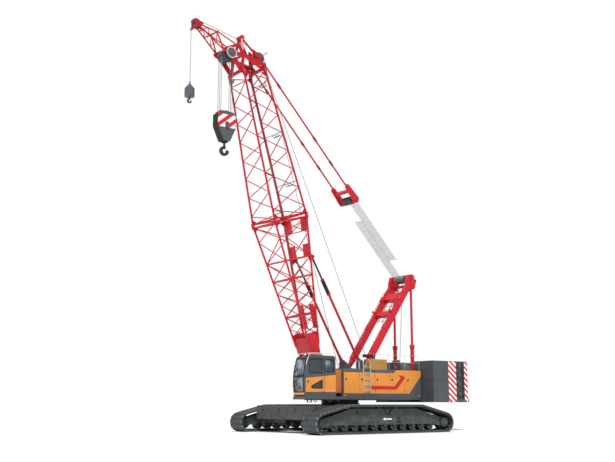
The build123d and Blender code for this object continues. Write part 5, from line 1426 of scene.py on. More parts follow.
    def handrail(self) -> Pieces:
        """Posts and two rails along the roof's outer edge."""
        y, top = self.side * 1.46, self.top_z + 0.78
        for x in self.rail_x:
            yield rod((x, y, self.top_z), (x, y, top), 0.007, 6)
        for z, radius in ((top, 0.007), (top - 0.38, 0.006)):
            yield rod((self.rail_x[0], y, z), (self.rail_x[-1], y, z), radius, 6)

    def reflectors(self) -> Pieces:
        """A small reflector at the rear foot, and one at the front."""
        y, outer = self.side * self.skin_y, self.side * (self.skin_y + 0.012)
        for x in (-4.15, 0.9):
            yield box((x - 0.05, y, 1.81), (x + 0.05, outer, 1.86), 0.004)


@dataclass
class LadderHead:
    """The recess ahead of the left house's doors, in a darker orange as painted shade, and the grab rails
    where the ladder ends.
    """

    post_y: float = 1.545
    edge_y: float = 1.44
    roof_z: float = 3.17
    rise: float = 0.42

    def build(self) -> None:
        """Dresses the left house's front."""
        # the recess's darker orange is painted shade
        recess = [box((1.05, 0.9, 1.95), (1.47, 1.4, 3.12), 0.02),
                  box((1.12, 1.4, 2.1), (1.4, 1.412, 3.0), 0.005)]
        fit(recess, "left_house_recess", SHADED_ORANGE, Body.UPPER)
        fit(self.grab_rails(), "left_house_grab_rails", LIGHT_METAL, Body.UPPER)

    def grab_rails(self) -> Pieces:
        """Bent grab rails at the top of the access ladder."""
        y, top = self.post_y, self.roof_z + self.rise
        for x in (-0.71, -0.25):
            yield hose([(x, y, 3.2), (x, y, top - 0.05), (x + 0.02, y - 0.02, top + 0.06),
                        (x + 0.04, y - 0.16, top + 0.06), (x + 0.04, y - 0.3, top - 0.1),
                        (x + 0.04, y - 0.32, self.roof_z)], 0.017)
        yield rail([(0.14, self.edge_y, self.roof_z), (0.14, self.edge_y, 3.64), (-0.1, self.edge_y, 3.5),
                    (-0.1, self.edge_y, self.roof_z)], 0.016)


@dataclass
class Deck:
    """What shows on the slewing frame: rope on the drums, hoses, valves, engine parts and the walkway."""

    winch_z: float = 2.12
    drums: tuple[tuple[float, float], ...] = ((-0.3, 0.26), (-1.5, 0.26), (-2.9, 0.24))
    drum_half: float = 0.33
    rope: float = 0.014

    def build(self) -> None:
        """Dresses the frame's middle and its left edge."""
        fit([self.coil(x, radius) for x, radius in self.drums], "drum_rope",
            HOIST_ROPE, Body.UPPER)
        fit(self.pipes(), "deck_hoses", RUBBER, Body.UPPER)
        fit(self.valves(), "deck_valves", CAST_IRON, Body.UPPER)
        fit(self.deck_edge(), "deck_edge", GREY, Body.UPPER)
        fit(self.engine(), "engine_details", CAST_IRON, Body.UPPER)

    def coil(self, x: float, radius: float) -> Solid:
        """One drum's upper rope layer as a ridged sleeve.

        Args:
            x: the drum's place along the frame.
            radius: the drum's radius.

        Returns:
            The rope layer.
        """
        turns = round(self.drum_half * 2 / (self.rope * 2))
        pitch = self.drum_half * 2 / turns
        low, crest = radius + 0.03 + self.rope * 0.6, radius + 0.03 + self.rope
        profile = [(radius - 0.004, -self.drum_half), (radius - 0.004, self.drum_half)]
        for i in range(turns, 0, -1):
            middle = -self.drum_half + (i - 0.5) * pitch
            profile += [(low, middle + pitch * 0.42), (crest, middle), (low, middle - pitch * 0.42)]
        return lathe(profile, (x, 0, self.winch_z), Axis.Y, 28)

    def pipes(self) -> Pieces:
        """Hydraulic hoses along the frame's right side and up to the winches."""
        for i in range(4):
            y = -0.5 - i * 0.045
            yield hose([(-3.9, y, 1.75), (-3.0, y, 1.76), (-2.2, y + 0.02, 1.74), (-1.2, y, 1.76),
                        (-0.2, y - 0.02, 1.75), (0.7, y, 1.78)], 0.019)
        for x, _ in self.drums:
            yield hose([(x + 0.35, -0.52, 1.78), (x + 0.4, -0.56, 2.0), (x + 0.25, -0.55, 2.2),
                        (x + 0.1, -0.49, 2.14)], 0.019)

    def valves(self) -> Pieces:
        """The winch motors, the brake housings and a valve block."""
        for x, radius in self.drums:
            motor = [(0.0, 0.0), (radius * 0.72, 0.0), (radius * 0.72, -0.05), (radius * 0.45, -0.08),
                     (radius * 0.45, -0.2), (radius * 0.3, -0.24), (0.0, -0.24)]
            yield lathe(motor, (x, -0.467, self.winch_z), Axis.Y, 28)
            yield bolt_ring((x, -0.517, self.winch_z), Axis.Y, radius * 0.6, 12, 0.013, -0.012)
        yield box((0.5, -0.64, 1.79), (0.95, -0.5, 2.05), 0.012)
        for i in range(5):
            x = 0.55 + i * 0.085
            yield rod((x, -0.57, 2.05), (x, -0.57, 2.12), 0.022, 10)

    def deck_edge(self) -> Pieces:
        """A chequered step along the left edge and small feet below the cab."""
        yield box((-4.3, 1.44, 1.765), (1.05, 1.51, 1.79), 0.005)
        yield box((2.2, 1.3, 1.42), (2.28, 1.38, 1.62), 0.01)
        for x in (1.25, 1.75):
            yield plate([(x - 0.05, 1.66), (x + 0.05, 1.66), (x + 0.03, 1.5),
                         (x - 0.03, 1.5)], Axis.Y, 1.2, 1.4)

    def engine(self) -> Pieces:
        """Rocker covers, a filter and the fan shroud on the plain engine block."""
        for i in range(5):
            x = -3.0 + i * 0.27
            yield box((x, -1.3, 2.7), (x + 0.22, -1.05, 2.78), 0.02)
        yield rod((-1.62, -0.9, 2.35), (-1.62, -0.9, 2.6), 0.06, 20)
        yield lathe([(0.12, 0.0), (0.22, 0.0), (0.22, 0.05), (0.12, 0.03)], (-3.26, -1.16, 2.3), Axis.X, 28)


@dataclass
class Counterweight:
    """Warning stripes, the rear recess's steps, lifting pins and lamps on the counterweights."""

    outer_y: float = 2.35
    rear_x: float = -7.05
    foot_z: float = 1.68
    top_z: float = 3.7
    stripes: tuple[tuple[float, float], ...] = ((-5.58, -6.16), (-6.8, -7.04))
    ladder_x: tuple[float, float] = (-6.26, -6.7)
    ladder_y: float = 2.3

    def build(self) -> None:
        """Dresses both stacks."""
        fit(self.side_boards(), "side_stripe_boards", SIDE_STRIPES, Body.UPPER)
        fit(self.steps(), "counterweight_steps", CAST_IRON, Body.UPPER)
        fit(self.lifting_pins(), "counterweight_pins", WEIGHT_GREY, Body.UPPER)
        fit(self.lamps(), "rear_lamps", BAND_RED, Body.UPPER)
        fit(self.rear_boards(), "rear_stripe_boards", REAR_STRIPES, Body.UPPER)

    def side_boards(self) -> Pieces:
        """Striped boards on the stacks' sides, either side of the rear recess."""
        for side in SIDES:
            for front, rear in self.stripes:
                yield box((rear, side * self.outer_y, self.foot_z - 0.16),
                          (front, side * (self.outer_y + 0.006), self.top_z - 0.02))

    def rear_boards(self) -> Pieces:
        """A striped board on each stack's rear face."""
        for side in SIDES:
            yield box((self.rear_x - 0.006, side * 2.34, self.foot_z + 0.02),
                      (self.rear_x, side * 2.0, self.top_z - 0.02))

    def steps(self) -> Pieces:
        """The rungs and the two stiles in each recess."""
        front, rear = self.ladder_x
        for y in (-self.ladder_y, self.ladder_y):
            for i in range(6):
                z = 1.85 + i * 0.32
                yield rod((front + 0.02, y, z), (rear - 0.02, y, z), 0.014, 8)
            for x in self.ladder_x:
                yield rod((x, y, 1.72), (x, y, 3.62), 0.016, 8)

    def lifting_pins(self) -> Pieces:
        """Four flat pin heads on top of each stack."""
        for side in SIDES:
            for x in (-4.85, -6.65):
                for y in (1.2, 2.05):
                    yield lathe(pin_head(0.09, 0.014, 0.05, 0.02),
                                (x, side * y, self.top_z - 0.005), Axis.Z, 18)

    def lamps(self) -> Pieces:
        """A red lamp low on each stack's rear face."""
        for y in (-1.25, 1.25):
            yield box((self.rear_x, y - 0.11, 2.02), (self.rear_x - 0.04, y + 0.11, 2.14), 0.012)


@dataclass
class Gantry:
    """The gantry's ladder, collars, pins and hydraulic lines."""

    foot: tuple[float, float] = (-1.05, 3.25)
    head: tuple[float, float] = GANTRY_HEAD
    half_y: float = 0.7

    def at(self, share: float, out: float = 0.0) -> tuple[float, float]:
        """A place along the front legs by its share, moved square to them.

        Args:
            share: 0 at the legs' foot and 1 at their head.
            out: how far it is moved, forward and up.

        Returns:
            The place's X and Z.
        """
        dx, dz = self.head[0] - self.foot[0], self.head[1] - self.foot[1]
        length = math.hypot(dx, dz)
        return self.foot[0] + dx * share + dz / length * out, self.foot[1] + dz * share - dx / length * out

    def build(self) -> None:
        """Dresses the gantry."""
        fit(self.ladder(), "gantry_ladder", DEEP_RED, Body.UPPER)
        fit(self.collars(), "gantry_collars", RED, Body.UPPER)
        fit(self.pins(), "gantry_pins", SHEAVE, Body.UPPER)
        fit(self.lines(), "gantry_lines", DEEP_RED, Body.UPPER)

    def ladder(self) -> Pieces:
        """A narrow ladder between the legs' upper halves, with struts to the legs."""
        (x0, z0), (x1, z1) = self.at(0.5), self.at(0.88)
        for y in (-0.2, 0.2):
            yield rod((x0, y, z0), (x1, y, z1), 0.022, 8)
        for i in range(9):
            x, z = self.at(0.52 + i * 0.042)
            yield rod((x, -0.2, z), (x, 0.2, z), 0.014, 8)
        for share in (0.56, 0.68, 0.8):
            x, z = self.at(share)
            for side in (1, -1):
                yield rod((x, side * 0.2, z), (x, side * 0.62, z + 0.1), 0.018, 8)

    def collars(self) -> Pieces:
        """Collars on the back legs, reinforcing plates on the front ones."""
        for y in (-self.half_y, self.half_y):
            for z, radius in ((4.55, 0.128), (4.42, 0.118), (3.98, 0.125)):
                yield lathe(sleeve(0.1, radius, -0.04, 0.04), (-4.5, y, z), Axis.Z, 24)
            for share in (0.1, 0.42, 0.74):
                outline = [self.at(share, -0.172), self.at(share + 0.05, -0.172),
                           self.at(share + 0.05, 0.172), self.at(share, 0.172)]
                yield plate(outline, Axis.Y, y - 0.112, y + 0.112, 0.004)

    def pins(self) -> Pieces:
        """Pin heads at the gantry's foot and head."""
        for side in SIDES:
            for (x, z), y in ((self.foot, 0.81), (self.head, 0.83)):
                yield lathe(pin_head(0.085, side * 0.03, 0.07, side * 0.04), (x, side * y, z), Axis.Y, 24)

    def lines(self) -> Pieces:
        """Thin hydraulic lines down the front legs."""
        (x0, z0), (x1, z1) = self.at(0.12, 0.178), self.at(0.85, 0.178)
        for side in SIDES:
            for y in (0.62, 0.78):
                yield rod((x0, side * y, z0), (x1, side * y, z1), 0.012, 6)


# ---- cab

def circle_through(first: Point, second: Point, third: Point) -> tuple[float, float, float]:
    """The centre and radius of the circle through three points of a plane.

    Args:
        first: the first point.
        second: the second point.
        third: the third point.

    Returns:
        The centre's two places and the radius.
    """
    (ax, ay), (bx, by), (cx, cy) = first, second, third
    turn = 2 * (ax * (by - cy) + bx * (cy - ay) + cx * (ay - by))
    a, b, c = ax * ax + ay * ay, bx * bx + by * by, cx * cx + cy * cy
    x = (a * (by - cy) + b * (cy - ay) + c * (ay - by)) / turn
    y = (a * (cx - bx) + b * (ax - cx) + c * (bx - ax)) / turn
    return x, y, math.hypot(ax - x, ay - y)


@dataclass
class Cab:
    """The cab's window seals, front frame, trims, rails, lamps, wipers, controls and step."""

    skin_y: float = 1.58
    inner_y: float = 0.68
    roof_z: float = 3.8
    front: tuple[Point, Point, Point] = ((3.33, 3.69), (3.54, 2.795), (3.48, 1.78))
    door_window: tuple[float, float, float, float] = (2.42, 3.21, 2.93, 3.6)
    side_window: tuple[float, float, float, float] = (1.7, 2.24, 3.0, 3.59)
    vent: tuple[Point, ...] = ((2.44, 2.18), (3.02, 2.18), (3.06, 2.3), (2.44, 2.58))
    seal_width: float = 0.035       # how far a seal laps past its pane
    seal_corner: float = 0.05       # what is cut off its corners

    def nose(self, z: float) -> float:
        """How far forward the curved front reaches at a height."""
        x, middle, radius = circle_through(*self.front)
        return x + math.sqrt(max(radius ** 2 - (z - middle) ** 2, 0.0))

    def ahead(self, y: float, z: float, out: float = 0.0, lift: float = 0.0) -> Point:
        """A place ahead of the curved front, which is taken at the height before the lift."""
        return self.nose(z) + out, y, z + lift

    def strip(self, low: float, high: float, inner: float, outer: float, proud: float = 0.012) -> Solid:
        """A strip on the curved front.

        Args:
            low: its lower edge's height.
            high: its upper edge's height.
            inner: its place across, nearer to the boom.
            outer: its place across, nearer to the outside.
            proud: how far it stands out.

        Returns:
            The strip.
        """
        count = max(2, round((high - low) / 0.12))
        heights = [low + (high - low) * i / count for i in range(count + 1)]
        outline = [(self.nose(z) + proud, z) for z in heights]
        outline += [(self.nose(z) - 0.01, z) for z in reversed(heights)]
        return plate(outline, Axis.Y, inner, outer)

    def seal(self, window: Point) -> Solid:
        """The black seal round a straight window of the outer side.

        Args:
            window: the pane's rear, front, low and high edges.

        Returns:
            The seal.
        """
        rear, front, low, high = window
        width, corner = self.seal_width, self.seal_corner
        x0, x1, z0, z1 = rear - width, front + width, low - width, high + width
        inner, outer = self.skin_y - 0.004, self.skin_y + 0.008
        outline = [(x0, z0 + corner), (x0 + corner, z0), (x1 - corner, z0), (x1, z0 + corner),
                   (x1, z1 - corner), (x1 - corner, z1), (x0 + corner, z1), (x0, z1 - corner)]
        hole = box((rear + 0.012, inner - 0.1, low + 0.012), (front - 0.012, outer + 0.1, high - 0.012), 0.04)
        return cut(plate(outline, Axis.Y, inner, outer, 0.003), hole)

    def build(self) -> None:
        """Dresses the cab and its door."""
        fit(self.front_frame(), "windscreen_frame", BLACK, Body.UPPER)
        fit(self.strip(1.86, 1.965, 0.7, 1.55, 0.006), "cab_nose_band", ORANGE, Body.UPPER)
        fit(self.side_trim(), "cab_side_seals", BLACK, Body.UPPER)
        fit(self.door_trim(), "cab_door_trim", BLACK, Body.DOOR)
        fit(self.rails(), "cab_rails", WHITE, Body.UPPER)
        fit(self.roof(), "cab_roof_details", CAB_GREY, Body.UPPER)
        fit(self.wiper(), "windscreen_wiper", RUBBER, Body.UPPER)
        fit(self.controls(), "cab_controls", BLACK, Body.UPPER)
        fit(self.lenses(), "cab_lamp_lenses", LAMP, Body.UPPER)
        fit(self.step(), "cab_step", BLACK, Body.UPPER)

    def front_frame(self) -> Pieces:
        """Pillars, cross bars and the foot of the windscreen."""
        for inner, outer in ((0.685, 0.765), (1.495, 1.575)):
            yield self.strip(1.97, 3.66, inner, outer)
        for low, high in ((3.59, 3.66), (2.712, 2.808), (1.965, 2.02)):
            yield self.strip(low, high, 0.7, 1.56)
        yield self.strip(1.79, 1.855, 0.69, 1.57, 0.03)

    def side_trim(self) -> Pieces:
        """The rear window's seal, the seams behind and above the door, and the rear wall's panel."""
        inner, outer = self.skin_y - 0.004, self.skin_y + 0.006
        yield self.seal(self.side_window)
        yield box((2.285, inner, 1.86), (2.3, outer, 3.7), 0.002)
        yield box((1.62, inner, 3.655), (3.2, outer, 3.67), 0.002)
        yield box((1.552, self.inner_y + 0.03, 2.1), (1.56, 1.5, 2.9), 0.003)

    def door_trim(self) -> Pieces:
        """The door's seal, the slanted vent's frame, the handle and an inner grip."""
        inner, outer = self.skin_y - 0.004, self.skin_y + 0.008
        middle = sum((Vector(p) for p in self.vent), Vector((0, 0))) / len(self.vent)
        grown, shrunk = ([middle + (Vector(p) - middle) * scale for p in self.vent] for scale in (1.16, 0.96))
        yield self.seal(self.door_window)
        frame = plate(grown, Axis.Y, inner, outer, 0.003)
        yield cut(frame, plate(shrunk, Axis.Y, inner - 0.1, outer + 0.1))
        handle = lathe(pin_head(0.05, 0.012, 0.035, 0.02), (0, 0, 0), Axis.Y, 20)
        handle.data.transform(Matrix.Translation((3.29, self.skin_y, 2.5)) @ Matrix.Rotation(0.15, 4, "Y")
                              @ Matrix.Diagonal((0.6, 1.0, 1.7, 1.0)))
        yield handle
        yield hose([(2.5, 1.52, 2.72), (2.5, 1.46, 2.72), (2.8, 1.45, 2.72),
                    (3.1, 1.46, 2.72), (3.1, 1.52, 2.72)], 0.013)

    def rails(self) -> Pieces:
        """Low rails round the roof, a grab bar on each front pillar and the thin line behind the door."""
        top = self.roof_z + 0.085
        for y in (0.73, 1.53):
            yield hose([(3.2, y, 3.72), (3.2, y, top - 0.02), (3.12, y, top), (2.4, y, top + 0.02),
                        (1.82, y, top), (1.75, y, top - 0.02), (1.75, y, 3.75)], 0.012)
            yield rod((2.45, y, 3.78), (2.45, y, top + 0.01), 0.01, 8)
        yield rod((3.18, 0.73, top - 0.005), (3.18, 1.53, top - 0.005), 0.012, 8)
        yield hose([self.ahead(0.75, 3.4), self.ahead(0.75, 3.4, 0.17, -0.08), self.ahead(0.75, 2.9, 0.22),
                    self.ahead(0.75, 2.5, 0.2), self.ahead(0.75, 2.2, 0.14, 0.05),
                    self.ahead(0.75, 2.15)], 0.013)
        yield hose([(3.4, 1.585, 3.3), (3.44, 1.62, 3.32), (3.42, 1.63, 3.45), (3.32, 1.63, 3.68),
                    (3.27, 1.6, 3.72), (3.26, 1.57, 3.72)], 0.014)
        yield box((1.64, self.skin_y - 0.003, 2.055), (2.2, self.skin_y + 0.004, 2.068), 0.001)

    def roof(self) -> Pieces:
        """The roof's edge, a hatch, lamp housings on the brow and a beacon's foot."""
        yield box((2.32, 0.86, self.roof_z - 0.01), (2.98, 1.4, self.roof_z + 0.035), 0.015)
        for y in (0.86, 1.4):
            yield box((3.2, y - 0.09, 3.75), (3.34, y + 0.09, 3.86), 0.02)
        yield lathe([(0.0, 0.0), (0.06, 0.0), (0.06, 0.06), (0.045, 0.12), (0.0, 0.13)],
                    (1.95, 0.9, self.roof_z - 0.01), Axis.Z, 20)

    def lenses(self) -> Pieces:
        """The two work lamps' lenses."""
        return [box((3.335, y - 0.075, 3.77), (3.35, y + 0.075, 3.845), 0.006) for y in (0.86, 1.4)]

    def wiper(self) -> Pieces:
        """A wiper with its arm and motor on the upper pane, and a short one on the lower pane."""
        at = self.ahead
        yield rod(at(1.13, 2.76, 0.01), at(1.13, 2.76, 0.05), 0.03, 12)
        yield hose([at(1.13, 2.76, 0.045), at(1.02, 3.0, 0.04), at(0.92, 3.2, 0.035)], 0.009)
        yield hose([at(0.86, 2.95, 0.022), at(0.9, 3.2, 0.024), at(0.98, 3.46, 0.022)], 0.011)
        yield hose([at(1.2, 2.05, 0.03), at(1.12, 2.2, 0.03), at(1.02, 2.36, 0.022)], 0.008)
        yield hose([at(0.86, 2.32, 0.02), at(1.0, 2.37, 0.022), at(1.2, 2.4, 0.02)], 0.01)

    def controls(self) -> Pieces:
        """The consoles with their levers, the display, the foot rest and two pedals."""
        middle = (self.inner_y + self.skin_y) / 2
        for side in SIDES:
            y = middle + side * 0.295
            yield box((1.95, y - 0.045, 2.07), (2.38, y + 0.045, 2.36), 0.015)
            yield hose([(2.3, y, 2.36), (2.31, y, 2.42), (2.33, y, 2.47)], 0.014)
            yield lathe([(0.0, 0.0), (0.024, 0.01), (0.03, 0.06), (0.022, 0.11), (0.0, 0.12)],
                        (2.33, y, 2.46), Axis.Z, 14)
        yield box((1.9, middle - 0.16, 1.832), (2.25, middle + 0.16, 2.075), 0.02)
        yield box((3.12, 0.8, 2.62), (3.16, 1.02, 2.8), 0.01)
        yield rod((3.14, 0.9, 2.1), (3.14, 0.9, 2.64), 0.015)
        yield box((3.05, 0.8, 1.835), (3.3, 1.46, 2.12), 0.03)
        for y in (1.03, 1.23):
            yield plate([(2.86, 1.86), (3.06, 2.0), (3.06, 2.02), (2.85, 1.88)], Axis.Y, y - 0.05, y + 0.05)

    def step(self) -> Pieces:
        """A hanging step and a looped hose below the cab."""
        for x in (2.9, 3.12):
            yield box((x, 1.3, 1.5), (x + 0.05, 1.36, 1.64), 0.006)
        yield box((2.9, 1.26, 1.49), (3.17, 1.42, 1.51), 0.006)
        yield hose([(2.55, 1.3, 1.63), (2.56, 1.3, 1.54), (2.65, 1.3, 1.51),
                    (2.74, 1.3, 1.54), (2.74, 1.3, 1.63)], 0.02)


@dataclass
class Seat:
    """The operator's padded seat: cushion, back and head rest with sewn piping, on a plain frame."""

    middle_y: float = 1.13
    voxel: float = 0.012
    swell: float = 0.014

    def build(self) -> None:
        """Makes the pads and puts them in the place of the plain solid."""
        pads = [("seat_cushion", self.pad((1.86, 0.905, 2.095), (2.33, 1.355, 2.205), 0.0)),
                ("seat_back", self.pad((1.71, 0.92, 2.22), (1.82, 1.34, 2.74), -0.12)),
                ("seat_head_rest", self.pad((1.645, 1.0, 2.79), (1.73, 1.26, 2.93), -0.08))]
        for name, pad in pads:
            fit(pad, name, SEAT_CLOTH, Body.UPPER, 60.0)
        frame = [rod((1.69, self.middle_y + y, 2.68), (1.68, self.middle_y + y, 2.83),
                     0.01) for y in (-0.06, 0.06)]
        frame.append(box((1.7, 0.93, 2.075), (2.3, 1.33, 2.09), 0.005))
        frame.append(box((1.72, 0.95, 2.08), (1.78, 1.31, 2.24), 0.01))
        obj = fit(frame, "seat_frame", BLACK, Body.UPPER)
        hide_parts("operator_seat")

    def pad(self, low: Point, high: Point, lean: float) -> Solid:
        """One stuffed pad with sewn piping, swelled by a short cloth simulation.

        Args:
            low: its lowest corner.
            high: its highest corner.
            lean: how far it turns about its foot, back from upright.

        Returns:
            The pad.
        """
        pad = box(low, high, 0.03)
        self.stuff(pad)
        smooth = pad.modifiers.new("round", "SUBSURF")
        smooth.levels = smooth.render_levels = 1
        take(pad)
        bpy.ops.object.modifier_apply(modifier=smooth.name)
        thin = min(range(3), key=lambda i: high[i] - low[i])
        pad = weld([pad, self.piping(low, high, thin)])
        foot = Vector((low[0], self.middle_y, low[2]))
        turn = Matrix.Rotation(lean, 4, "Y")
        pad.data.transform(Matrix.Translation(foot) @ turn @ Matrix.Translation(-foot))
        return pad

    def stuff(self, pad: Solid) -> None:
        """Remeshes a pad evenly and blows it up a little with cloth pressure.

        Args:
            pad: the plain pad.
        """
        take(pad)
        remesh = pad.modifiers.new("even", "REMESH")
        remesh.mode, remesh.voxel_size = "VOXEL", self.voxel
        bpy.ops.object.modifier_apply(modifier=remesh.name)
        start = [vertex.co.copy() for vertex in pad.data.vertices]
        cloth = pad.modifiers.new("stuffing", "CLOTH")
        cloth.settings.use_pressure, cloth.settings.uniform_pressure_force = True, 4.0
        cloth.settings.effector_weights.gravity = 0.0
        for frame in range(1, 21):
            bpy.context.scene.frame_set(frame)
        bpy.ops.object.modifier_apply(modifier=cloth.name)
        for vertex, old in zip(pad.data.vertices, start):
            move = vertex.co - old
            if move.length > self.swell:
                vertex.co = old + move * (self.swell / move.length)
        bpy.context.scene.frame_set(1)

    def piping(self, low: Point, high: Point, thin: int) -> Solid:
        """The sewn edge round a pad's middle.

        Args:
            low: the pad's lowest corner.
            high: its highest corner.
            thin: the index of its thin direction.

        Returns:
            The piping.
        """
        first, second = [i for i in range(3) if i != thin]
        middle = (low[thin] + high[thin]) / 2
        corners = []
        for a, b in ((low, low), (high, low), (high, high), (low, high)):
            corner = Vector()
            corner[first], corner[second], corner[thin] = a[first], b[second], middle
            corners.append(corner)
        loop = []
        for i, corner in enumerate(corners):
            before, after = corners[i - 1], corners[(i + 1) % 4]
            loop += [corner + (before - corner).normalized() * 0.04, corner,
                     corner + (after - corner).normalized() * 0.04]
        return hose(loop, 0.006, closed=True)


# ---- boom

@dataclass(frozen=True)
class BoomLine:
    """The boom's own frame: S along it from the foot pin, N square to it towards the front."""

    foot: tuple[float, float] = (1.504, 2.0)
    angle: float = math.radians(74.36)
    sizes: tuple[tuple[float, float, float], ...] = ((2.6, 1.19, 0.63),
                                                     (9.03, 1.99, 2.04), (16.5, 1.38, 1.35))
    guide: tuple[float, float] = (17.6, -0.89)              # the guide sheaves' axle
    pendant_pin: tuple[float, float] = (17.12, -0.8)

    def at(self, s: float, n: float, y: float = 0.0) -> Vector:
        """A point of the crane's frame from its place in the boom's."""
        cos, sin = math.cos(self.angle), math.sin(self.angle)
        return Vector((self.foot[0] + s * cos + n * sin, y, self.foot[1] + s * sin - n * cos))

    def size(self, s: float) -> tuple[float, float]:
        """The chord spacing across and along the boom's depth at a place.

        Args:
            s: the place along the boom.

        Returns:
            The spacing across, then the one along the depth.
        """
        pair = self.sizes[:2] if s <= self.sizes[1][0] else self.sizes[1:]
        (s0, w0, d0), (s1, w1, d1) = pair
        share = (s - s0) / (s1 - s0)
        return w0 + (w1 - w0) * share, d0 + (d1 - d0) * share

    def corner(self, s: float, across: int, depth: int) -> Vector:
        """A chord's centre, by the signs of its side and of its face."""
        width, deep = self.size(s)
        return self.at(s, depth * deep / 2, across * width / 2)

    def chords(self, s: float) -> Iterator[tuple[float, float, int, int]]:
        """Each chord's Y and N at a place, with the signs of its side and of its face.

        Args:
            s: the place along the boom.

        Returns:
            The four chords, one after another.
        """
        width, depth = self.size(s)
        for across in SIDES:
            for deep in SIDES:
                yield across * width / 2, deep * depth / 2, across, deep

    def slab(self, s: Point, n: Point, y: Point, bevel: float = 0.0) -> Solid:
        """A block square to the boom between limits of S, N and Y."""
        corners = [self.at(s[0], n[0]), self.at(s[1], n[0]), self.at(s[1], n[1]), self.at(s[0], n[1])]
        return plate(flat(corners), Axis.Y, min(y), max(y), bevel)

    def ring(self, s: float, n: float, y: float, profile: Sequence[Point], steps: int = 28) -> Solid:
        """A profile turned round an axis across the boom."""
        return lathe(profile, self.at(s, n, y), Axis.Y, steps)


LINE = BoomLine()


@dataclass
class Boom:
    """The boom sections' connectors, pins, gussets, rope guides, foot pins and lines."""

    joints: tuple[float, ...] = (9.03, 16.82)
    guides: tuple[float, ...] = (10.85, 13.5, 16.2)
    foot_plate: tuple[float, float] = (3.25, 4.5)

    def build(self) -> None:
        """Dresses both sections."""
        fit(self.connectors(), "boom_connectors", RED, Body.BOOM)
        fit(self.pins(), "boom_connector_pins", BRIGHT_STEEL, Body.BOOM)
        fit(self.gussets(), "boom_gussets", DEEP_RED, Body.BOOM)
        fit(self.rope_guides(), "boom_rope_guides", BLACK, Body.BOOM)
        fit(self.foot(), "boom_foot_pins", CAST_IRON, Body.BOOM)
        fit(self.lines(), "boom_hoses", RUBBER, Body.BOOM)

    def connectors(self) -> Pieces:
        """Paired lugs and collars on each chord where sections meet, and the foot's rear plates."""
        for s in self.joints:
            for y, n, across, deep in LINE.chords(s):
                for shift in (-0.06, 0.06):
                    yield LINE.slab((s - 0.16, s + 0.15), (n - 0.062, n + 0.062),
                                    (y + shift - 0.015, y + shift + 0.015), 0.008)
                for end in (s - 0.24, s + 0.22):
                    yield rod(LINE.corner(end, across, deep),
                              LINE.corner(end + 0.05, across, deep), 0.064, 16)
        width, depth = LINE.size(sum(self.foot_plate) / 2)
        for across in SIDES:
            yield LINE.slab(self.foot_plate, (-depth / 2 - 0.02, -depth / 2 + 0.02),
                            (across * (width / 2 - 0.02), across * (width / 2 - 0.42)), 0.004)

    def pins(self) -> Pieces:
        """The connector pins with their retaining clips."""
        reach = Vector((0, 0.11, 0))
        for s in self.joints:
            for y, n, across, _ in LINE.chords(s):
                middle = LINE.at(s, n, y)
                clip = middle + reach * across * 0.85
                yield rod(middle - reach, middle + reach, 0.032, 14)
                yield rod(clip, clip - Vector((0, 0, 0.09)), 0.006, 6)

    def gussets(self) -> Pieces:
        """Small plates in the corners at both ends of each section."""
        for s, way in ((8.93, -1), (9.13, 1), (16.7, -1)):
            for y, n, _, deep in LINE.chords(s):
                corner = [LINE.at(s, n), LINE.at(s + way * 0.3, n), LINE.at(s, n - deep * 0.3)]
                yield plate(flat(corner), Axis.Y, y - 0.008, y + 0.008)

    def rope_guides(self) -> Pieces:
        """Cross bars behind the rear face, each with two rope rollers in a small cage."""
        for s in self.guides:
            width, depth = LINE.size(s)
            n = -depth / 2 - 0.03
            roller = (s - 0.12, n - 0.16)
            yield rod(LINE.at(s, n, -width / 2), LINE.at(s, n, width / 2), 0.017, 8)
            for y in (-0.12, 0.12):
                for end in (y - 0.11, y + 0.11):
                    yield rod(LINE.at(s, n, end), LINE.at(*roller, end), 0.014, 6)
                yield rod(LINE.at(*roller, y - 0.13), LINE.at(*roller, y + 0.13), 0.024, 10)

    def foot(self) -> Pieces:
        """The heads of the foot pins."""
        for side in SIDES:
            cap = [(0.0, 0.0), (0.1, 0.0), (0.1, side * 0.01), (0.0, side * 0.012)]
            yield LINE.ring(0, 0, side * 0.664, cap)

    def lines(self) -> Pieces:
        """Electric and hydraulic lines clipped to the right rear chord."""
        for shift in (0.075, 0.11):
            places = ((s, *LINE.size(s)) for s in (3.2, 6.0, 9.03, 12.0, 16.5))
            yield hose([LINE.at(s, shift - depth / 2, 0.03 - width / 2) for s, width, depth in places], 0.012)


